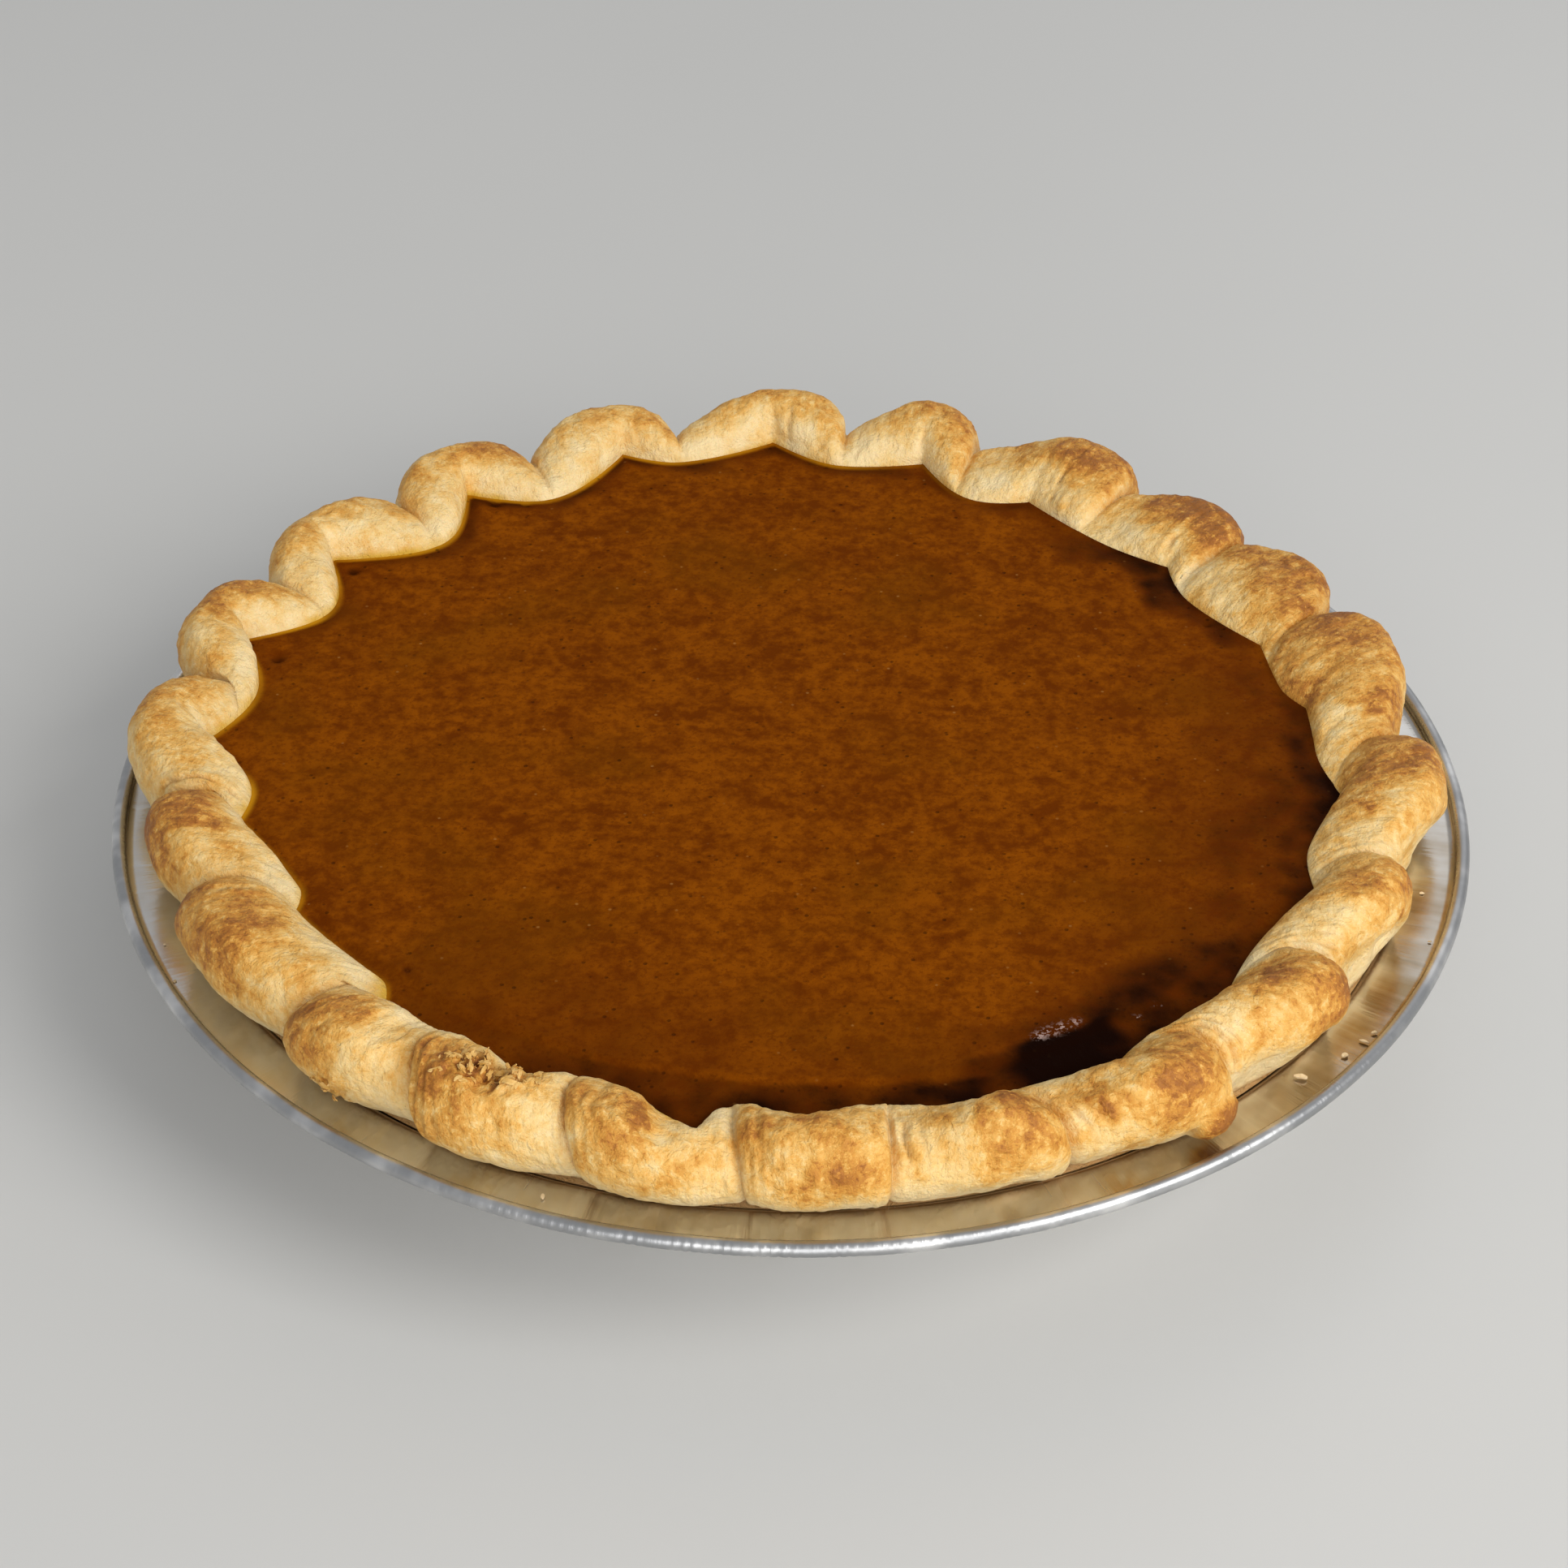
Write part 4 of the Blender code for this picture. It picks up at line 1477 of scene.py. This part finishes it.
@dataclass(frozen=True)
class Custard:
    """The custard, whose skin settled a little inside its edge.

    shelf is the radius of the step in its skin, strongest at the bearing front.  glow is the
    bearing where its thin edge is yellow.  A pit's width is its patch's, and its depth in
    millimetres the patch's strength.  Near its edge the skin falls by fall, then clings.
    """

    rim: Rim
    spokes: int = 792
    rings: int = 108
    tuck: float = 1.0 * MM
    settle: float = 0.55 * MM
    shelf: float = 98.0 * MM
    front: float = 270.0
    glow: float = 155.0
    lip: float = 0.12 * MM
    lip_width: float = 1.1 * MM
    cling: float = 0.35 * MM
    cling_width: float = 0.5 * MM
    fall: float = 0.25 * MM
    fall_width: float = 4.0 * MM
    shelf_wander: Layers = ((41, 26.0, 1.6), (42, 9.0, 0.6))
    waves: Layers = ((43, 32.0, 0.20), (44, 9.0, 0.06))
    glints: tuple = rows(Patch, (296.1, 95.4, 41.3, 1.1), (297.5, 95.2, 41.3, 1.2),
                         (299.0, 95.2, 41.3, 1.2), (300.5, 95.1, 41.3, 0.9),
                         (306.5, 99.3, 41.3, 0.5, 0.8), (309.0, 98.9, 41.3, 0.4, 0.8))
    pits: tuple = rows(Patch, (166.1, 102.6, 0.0, 1.9, 1.3), (147.6, 104.6, 0.0, 1.9, 1.1),
                       (127.0, 103.0, 0.0, 1.5, 0.9), (124.0, 99.0, 0.0, 0.9, 0.6),
                       (26.5, 91.0, 0.0, 0.9, 1.0), (227.0, 96.0, 0.0, 1.0, 0.5))
    # The first three darks, at the right-front, paint a dark reflection into the skin, near-black
    # at its heart.
    darks: tuple = rows(Stretch, (93.0, 97.5, 297.0, 10.0, 1.3, 0.4),
                        (98.5, 101.5, 287.0, 9.0, 0.9), (79.0, 98.0, 309.0, 27.0, 0.80, 1.0),
                        (13.0, 2.0, 350.0, 34.0, 0.80, 1.0, True),
                        (13.0, 3.0, 36.0, 20.0, 0.86, 1.6, True),
                        (9.0, 1.0, 105.0, 75.0, 0.64, 0.7, True))
    fades: tuple = rows(Stretch, (50.0, 95.0, 345.0, 45.0, 0.52), (50.0, 95.0, 248.0, 30.0, 0.36))
    shelf_dark: Stretch = Stretch(7.0, 0.0, 280.0, 50.0, 0.25, from_edge=True)

    def build(self, finish: CustardFinish) -> bpy.types.Object:
        """Model the custard and dress it.

        Args:
            finish: The custard's finish.

        Returns:
            The custard.
        """
        rim = self.rim
        bearing = np.arange(self.spokes)[:, None] * 360.0 / self.spokes
        angle = np.radians(bearing)
        edge = rim.edge(bearing)
        share = 1 - (1 - np.linspace(0.0, 1.0, self.rings + 1)[1:]) ** 1.35
        radius = (edge + self.tuck) * share
        skin = Skin(round_axis(radius, angle, 0.0), radius, bearing, edge - radius)
        grid = round_axis(radius, angle, rim.level + self.relief(skin))
        side = (edge + rim.edge_spread - 0.5 * MM, rim.level - rim.edge_drop)
        sides = upright(angle, [side, rim.floor_corner(rim.fit)])
        mesh = ring_mesh("custard", np.concatenate([grid, sides], axis=1),
                         Vector((0, 0, rim.level)), Vector((0, 0, rim.floor_corner(rim.fit)[1])))
        for grain, values in self.colouring(skin, grid).items():
            tail = np.repeat(values[:, -1:], sides.shape[1], axis=1)
            store(mesh, grain, np.concatenate([values, tail], axis=1))
        return place_piece("custard", mesh, finish.material(), "filling")

    def shelf_line(self, bearing: Array) -> Array:
        """Radius at which the skin steps down towards its edge, at each bearing."""
        circle = round_axis(100.0 * MM, np.radians(bearing), 0.0)
        return self.shelf + lumps(circle, self.shelf_wander)

    def relief(self, skin: Skin) -> Array:
        """Height of the skin above its level: shelf, waves, pits and the clinging edge.

        Args:
            skin: The flat skin.

        Returns:
            The heights, in metres.
        """
        flat, inward = skin.flat, skin.inward
        front = smooth(np.cos(np.radians(skin.bearing - self.front)), 0.05, 0.75)
        line = self.shelf_line(skin.bearing)
        step = smooth(skin.radius, line - 0.8 * MM, line + 1.0 * MM)
        lip = bell(skin.radius - line, self.lip_width) * self.lip
        shelf = (lip - self.settle * step) * front
        waves = lumps(flat, self.waves) * smooth(inward, 0.0, 6.0 * MM)
        cling = np.exp(-np.maximum(inward, 0.0) / self.cling_width) * self.cling
        fall = smooth(inward, self.fall_width, 0.0) * self.fall
        dents = sum(pit.strength * MM * np.exp(-pit.away(flat) ** 2 * 2.0) for pit in self.pits)
        return shelf + waves + cling - fall - dents

    def colouring(self, skin: Skin, grid: Array) -> dict[Grain, Array]:
        """Where the skin is dark, where its thin edge glows yellow and where it glints.

        Args:
            skin: The flat skin.
            grid: Its points at their heights.

        Returns:
            The values to store on the vertices, by name.
        """
        flat, bearing = skin.flat, skin.bearing
        line = self.shelf_line(bearing)
        wander = Noise(45).layered(flat, 15.0, 3) * 3.0 * MM
        band = smooth(skin.radius, line - 0.7 * MM, line + 1.2 * MM)
        band = band * bell(turn(bearing, 266.0), 40.0)
        shades = [band * (0.62 + self.shelf_dark.share(skin, wander))]
        # These include the painted dark reflection at the right-front.
        shades += [dark.share(skin, wander) for dark in self.darks]
        shades.append(sum(fade.share(skin, wander) for fade in self.fades))
        shades += [0.8 * np.exp(-pit.away(flat) ** 2) for pit in self.pits]
        edge = smooth(skin.inward, 1.5 * MM, 0.1 * MM)
        left = smooth(np.cos(np.radians(bearing - self.glow)), -0.1, 0.7)
        mottled = 0.88 + 0.35 * Noise(46).layered(flat, 8.0, 2)
        shade = np.maximum.reduce(shades) * mottled * (1 - edge * left)
        gleam = edge * left * (0.35 + 0.75 * smooth(Noise(47)(flat, 17.0), -0.35, 0.45))
        return {Grain.SHADE: np.clip(shade, 0.0, 0.98), Grain.SOAK: gleam,
                Grain.GLINT: unit(covered(self.glints, grid))}


# --- loose pieces ---

@dataclass(frozen=True)
class Flake:
    """One thin flake: where it lies or stands, its length, width and thickness, in metres."""

    heart: Vector
    turned: Matrix
    length: float
    width: float
    thick: float


@dataclass
class Flakes:
    """Many flakes joined into one piece.

    toasted moves the finish towards brown, seed draws the outlines, and ragged is the least
    reach of an outline.
    """

    name: str
    toasted: float
    seed: int
    ragged: float = 0.45
    sides: int = 13
    crumple: float = 0.05
    items: list = field(default_factory=list)

    def build(self, finish: FlakeFinish) -> bpy.types.Object:
        """Join the flakes into one mesh and dress it.

        Args:
            finish: The flakes' finish.

        Returns:
            The piece.
        """
        draw = np.random.default_rng(self.seed)
        corners: list[Vector] = []
        faces: list[list[int]] = []
        for flake in self.items:
            self._add(flake, draw, corners, faces)
        mesh = bpy.data.meshes.new(self.name)
        mesh.from_pydata([tuple(corner) for corner in corners], [], faces)
        mesh.validate()
        return place_piece(self.name, mesh, finish.material(self.name, self.toasted))

    def _add(self, flake: Flake, draw: np.random.Generator, corners: list, faces: list) -> None:
        """Add one ragged, crumpled plate, closed all round.

        Args:
            flake: The flake to add.
            draw: The source of its outline.
            corners: Gets the plate's corners: the lower outline, the upper one, two middles.
            faces: Gets its faces.
        """
        sides, start = self.sides, len(corners)
        reach = draw.uniform(self.ragged, 1.0, sides)
        reach = (reach + np.roll(reach, 1)) / 2
        crumple = draw.normal(size=sides) * self.crumple * flake.width
        bend = draw.uniform(0.1, 0.35)
        for level in (-0.5, 0.5):
            for side in range(sides):
                angle = math.tau * side / sides
                x, y = reach[side] * math.cos(angle) / 2, reach[side] * math.sin(angle) / 2
                arched = bend * flake.length * (0.25 - x * x) * 2.0 + crumple[side]
                point = Vector((x * flake.length, y * flake.width, level * flake.thick + arched))
                corners.append(flake.heart + flake.turned @ point)
        for level in (-0.5, 0.5):
            middle = Vector((0, 0, bend * flake.length * 0.5 + level * flake.thick))
            corners.append(flake.heart + flake.turned @ middle)
        low, high = start + 2 * sides, start + 2 * sides + 1
        for side in range(sides):
            here, after = start + side, start + (side + 1) % sides
            faces.append([low, after, here])
            faces.append([high, here + sides, after + sides])
            faces.append([here, after, after + sides, here + sides])


@dataclass(frozen=True)
class Litter:
    """The flakes that stand in the torn places and the crumbs that lie on the flange.

    A crumb is a row of bearing, radius, length, width and spin; a spike one of bearing, radius,
    height and lean.  Angles are in degrees and lengths in millimetres.  layers says how many
    flakes stand in each torn place, scattered over that share of its width.
    """

    tin: Tin
    crumbs: tuple = (
        (317.3, 119.0, 3.3, 1.3, 30.0), (322.0, 121.5, 1.7, 1.1, 80.0),
        (324.5, 122.3, 2.2, 0.8, 10.0), (326.0, 122.6, 1.3, 0.8, 50.0),
        (333.0, 124.0, 1.0, 0.7, 0.0), (250.5, 119.7, 1.5, 0.8, 20.0),
        (208.5, 123.0, 1.0, 0.7, 60.0), (339.5, 122.7, 0.9, 0.5, 15.0),
        (203.5, 121.5, 0.7, 0.5, 0.0), (346.0, 119.0, 1.1, 0.7, 30.0),
    )
    layers: tuple = (46, 64, 36, 24)
    spikes: tuple = ((244.9, 109.5, 1.6, 20.0), (245.4, 109.2, 1.0, -25.0),
                     (246.3, 109.8, 0.8, 35.0), (242.3, 111.5, 0.6, 60.0))
    spike_foot: float = 49.0 * MM
    scatter: float = 0.44
    sunk: float = 0.26 * MM
    layer_thick: float = 0.10 * MM
    crumb_lift: float = 0.12 * MM

    def build_crumbs(self, finish: FlakeFinish) -> bpy.types.Object:
        """Lay the crumbs on the flange.

        Args:
            finish: The crumbs' finish.

        Returns:
            The piece.
        """
        flakes = Flakes("flange_crumbs", -0.30, 71, 0.6)
        for bearing, radius, length, width, spin in self.crumbs:
            thick = 0.22 * width * MM
            turned = Matrix.Rotation(math.radians(bearing + spin), 3, "Z")
            lift = thick * 0.5 + self.crumb_lift
            heart = polar(bearing, radius * MM, self.tin.flange_top + lift)
            flakes.items.append(Flake(heart, turned, length * MM, width * MM, thick))
        return flakes.build(finish)

    def build_shreds(self, crust: Crust, finish: FlakeFinish) -> bpy.types.Object:
        """Stand thin layers of dough in the torn places, and a few spikes at their inner side.

        Args:
            crust: The finished crust they stand on.
            finish: The layers' finish.

        Returns:
            The piece.
        """
        draw = np.random.default_rng(72)
        flakes = Flakes("torn_layers", 0.62, 73, 0.4)
        for patch, number in zip(crust.torn, self.layers):
            for _ in range(number):
                astray = Vector(draw.normal(size=3)) * (patch.across * MM * self.scatter)
                heart, outward = crust.nearest(patch.heart() + astray)
                turned = (outward.to_track_quat("Z", "Y").to_matrix()
                          @ Matrix.Rotation(draw.normal() * 0.7, 3, "Z")
                          @ Matrix.Rotation(draw.normal() * 0.12, 3, "X"))
                length = draw.uniform(1.2, 3.6) * MM
                width = length * draw.uniform(0.2, 0.5)
                flakes.items.append(Flake(heart - outward * self.sunk, turned, length, width,
                                          self.layer_thick))
        for bearing, radius, lift, lean in self.spikes:
            heart, _ = crust.nearest(polar(bearing, radius * MM, self.spike_foot))
            turned = (Matrix.Rotation(math.radians(bearing + 90.0), 3, "Z")
                      @ Matrix.Rotation(math.radians(-90.0 + lean), 3, "Y"))
            flakes.items.append(Flake(heart + Vector((0, 0, lift * MM * 0.5)), turned,
                                      (1.6 + lift) * MM, 1.1 * MM, 0.16 * MM))
        return flakes.build(finish)


# --- studio ---

@dataclass(frozen=True)
class Lamp:
    """A square soft light: its name, place, width, power and colour."""

    name: str
    place: Vector
    size: float
    power: float
    colour: Colour

    def add(self, target: Vector) -> None:
        """Add the light, aimed at a target.

        Args:
            target: Where it points.
        """
        lamp = bpy.data.lights.new(self.name, "AREA")
        lamp.size = self.size
        lamp.energy = self.power
        lamp.color = self.colour
        light = bpy.data.objects.new(self.name, lamp)
        light.location = self.place
        light.rotation_euler = (target - self.place).to_track_quat("-Z", "Y").to_euler()
        bpy.context.scene.collection.objects.link(light)


@dataclass(frozen=True)
class Studio:
    """A plain pale table, soft daylight from the right and the camera."""

    target: Vector = Vector((-0.0014, 0.0010, 0.030))
    elevation: float = math.radians(36.03)
    distance: float = 0.6605
    roll: float = math.radians(0.748)
    focal: float = 80.0
    sensor: float = 36.0
    table: float = 6.0
    sky: Colour = (0.97, 0.985, 1.0)
    sky_power: float = 0.465
    lamps: tuple = rows(
        Lamp, ("window", Vector((1.0, -0.75, 0.95)), 0.9, 15.2, (1.0, 0.985, 0.955)),
        ("front_fill", Vector((0.1, -1.5, 0.32)), 1.3, 13.0, (1.0, 0.99, 0.97)),
        ("right_card", Vector((0.85, 1.55, 1.15)), 1.3, 2.4, (1.0, 1.0, 1.0)))

    def build(self) -> None:
        """Add the table, the lights, the world and the camera."""
        self.add_table()
        for lamp in self.lamps:
            lamp.add(self.target)
        world = bpy.data.worlds.new("room")
        world.use_nodes = True
        background = world.node_tree.nodes["Background"]
        background.inputs["Color"].default_value = (*self.sky, 1.0)
        background.inputs["Strength"].default_value = self.sky_power
        bpy.context.scene.world = world
        bpy.context.scene.view_settings.view_transform = "Standard"
        self.add_camera()

    def add_table(self) -> None:
        """Lay the table under the tin."""
        mesh = bpy.data.meshes.new("table")
        half = self.table / 2
        mesh.from_pydata([(-half, -half, 0), (half, -half, 0), (half, half, 0), (-half, half, 0)],
                         [], [(0, 1, 2, 3)])
        mesh.materials.append(FloorFinish().material())
        table = bpy.data.objects.new("table", mesh)
        bpy.context.scene.collection.objects.link(table)

    def add_camera(self) -> None:
        """Point the camera down at the pie from the front."""
        back = Vector((0.0, -math.cos(self.elevation), math.sin(self.elevation)))
        right = Vector((1.0, 0.0, 0.0))
        up = back.cross(right)
        cos, sin = math.cos(self.roll), math.sin(self.roll)
        across, above = right * cos + up * sin, up * cos - right * sin
        lens = bpy.data.cameras.new("camera")
        lens.lens = self.focal
        lens.sensor_width = self.sensor
        lens.sensor_fit = "HORIZONTAL"
        camera = bpy.data.objects.new("camera", lens)
        place = self.target + back * self.distance
        turned = Matrix((across, above, back)).transposed()
        camera.matrix_world = Matrix.Translation(place) @ turned.to_4x4()
        bpy.context.scene.collection.objects.link(camera)
        bpy.context.scene.camera = camera


def main() -> None:
    """Build every piece in order."""
    logging.basicConfig(level=logging.INFO, format="%(name)s: %(message)s")
    tin = Tin()
    rim = Rim(tin)
    crust = Crust(rim)
    tin.build(TinFinish())
    crust.build(CrustFinish())
    Custard(rim).build(CustardFinish())
    litter = Litter(tin)
    litter.build_crumbs(FlakeFinish())
    litter.build_shreds(crust, FlakeFinish((0.82, 0.57, 0.23), (0.60, 0.31, 0.055)))
    Studio().build()


if __name__ == "__main__":
    main()
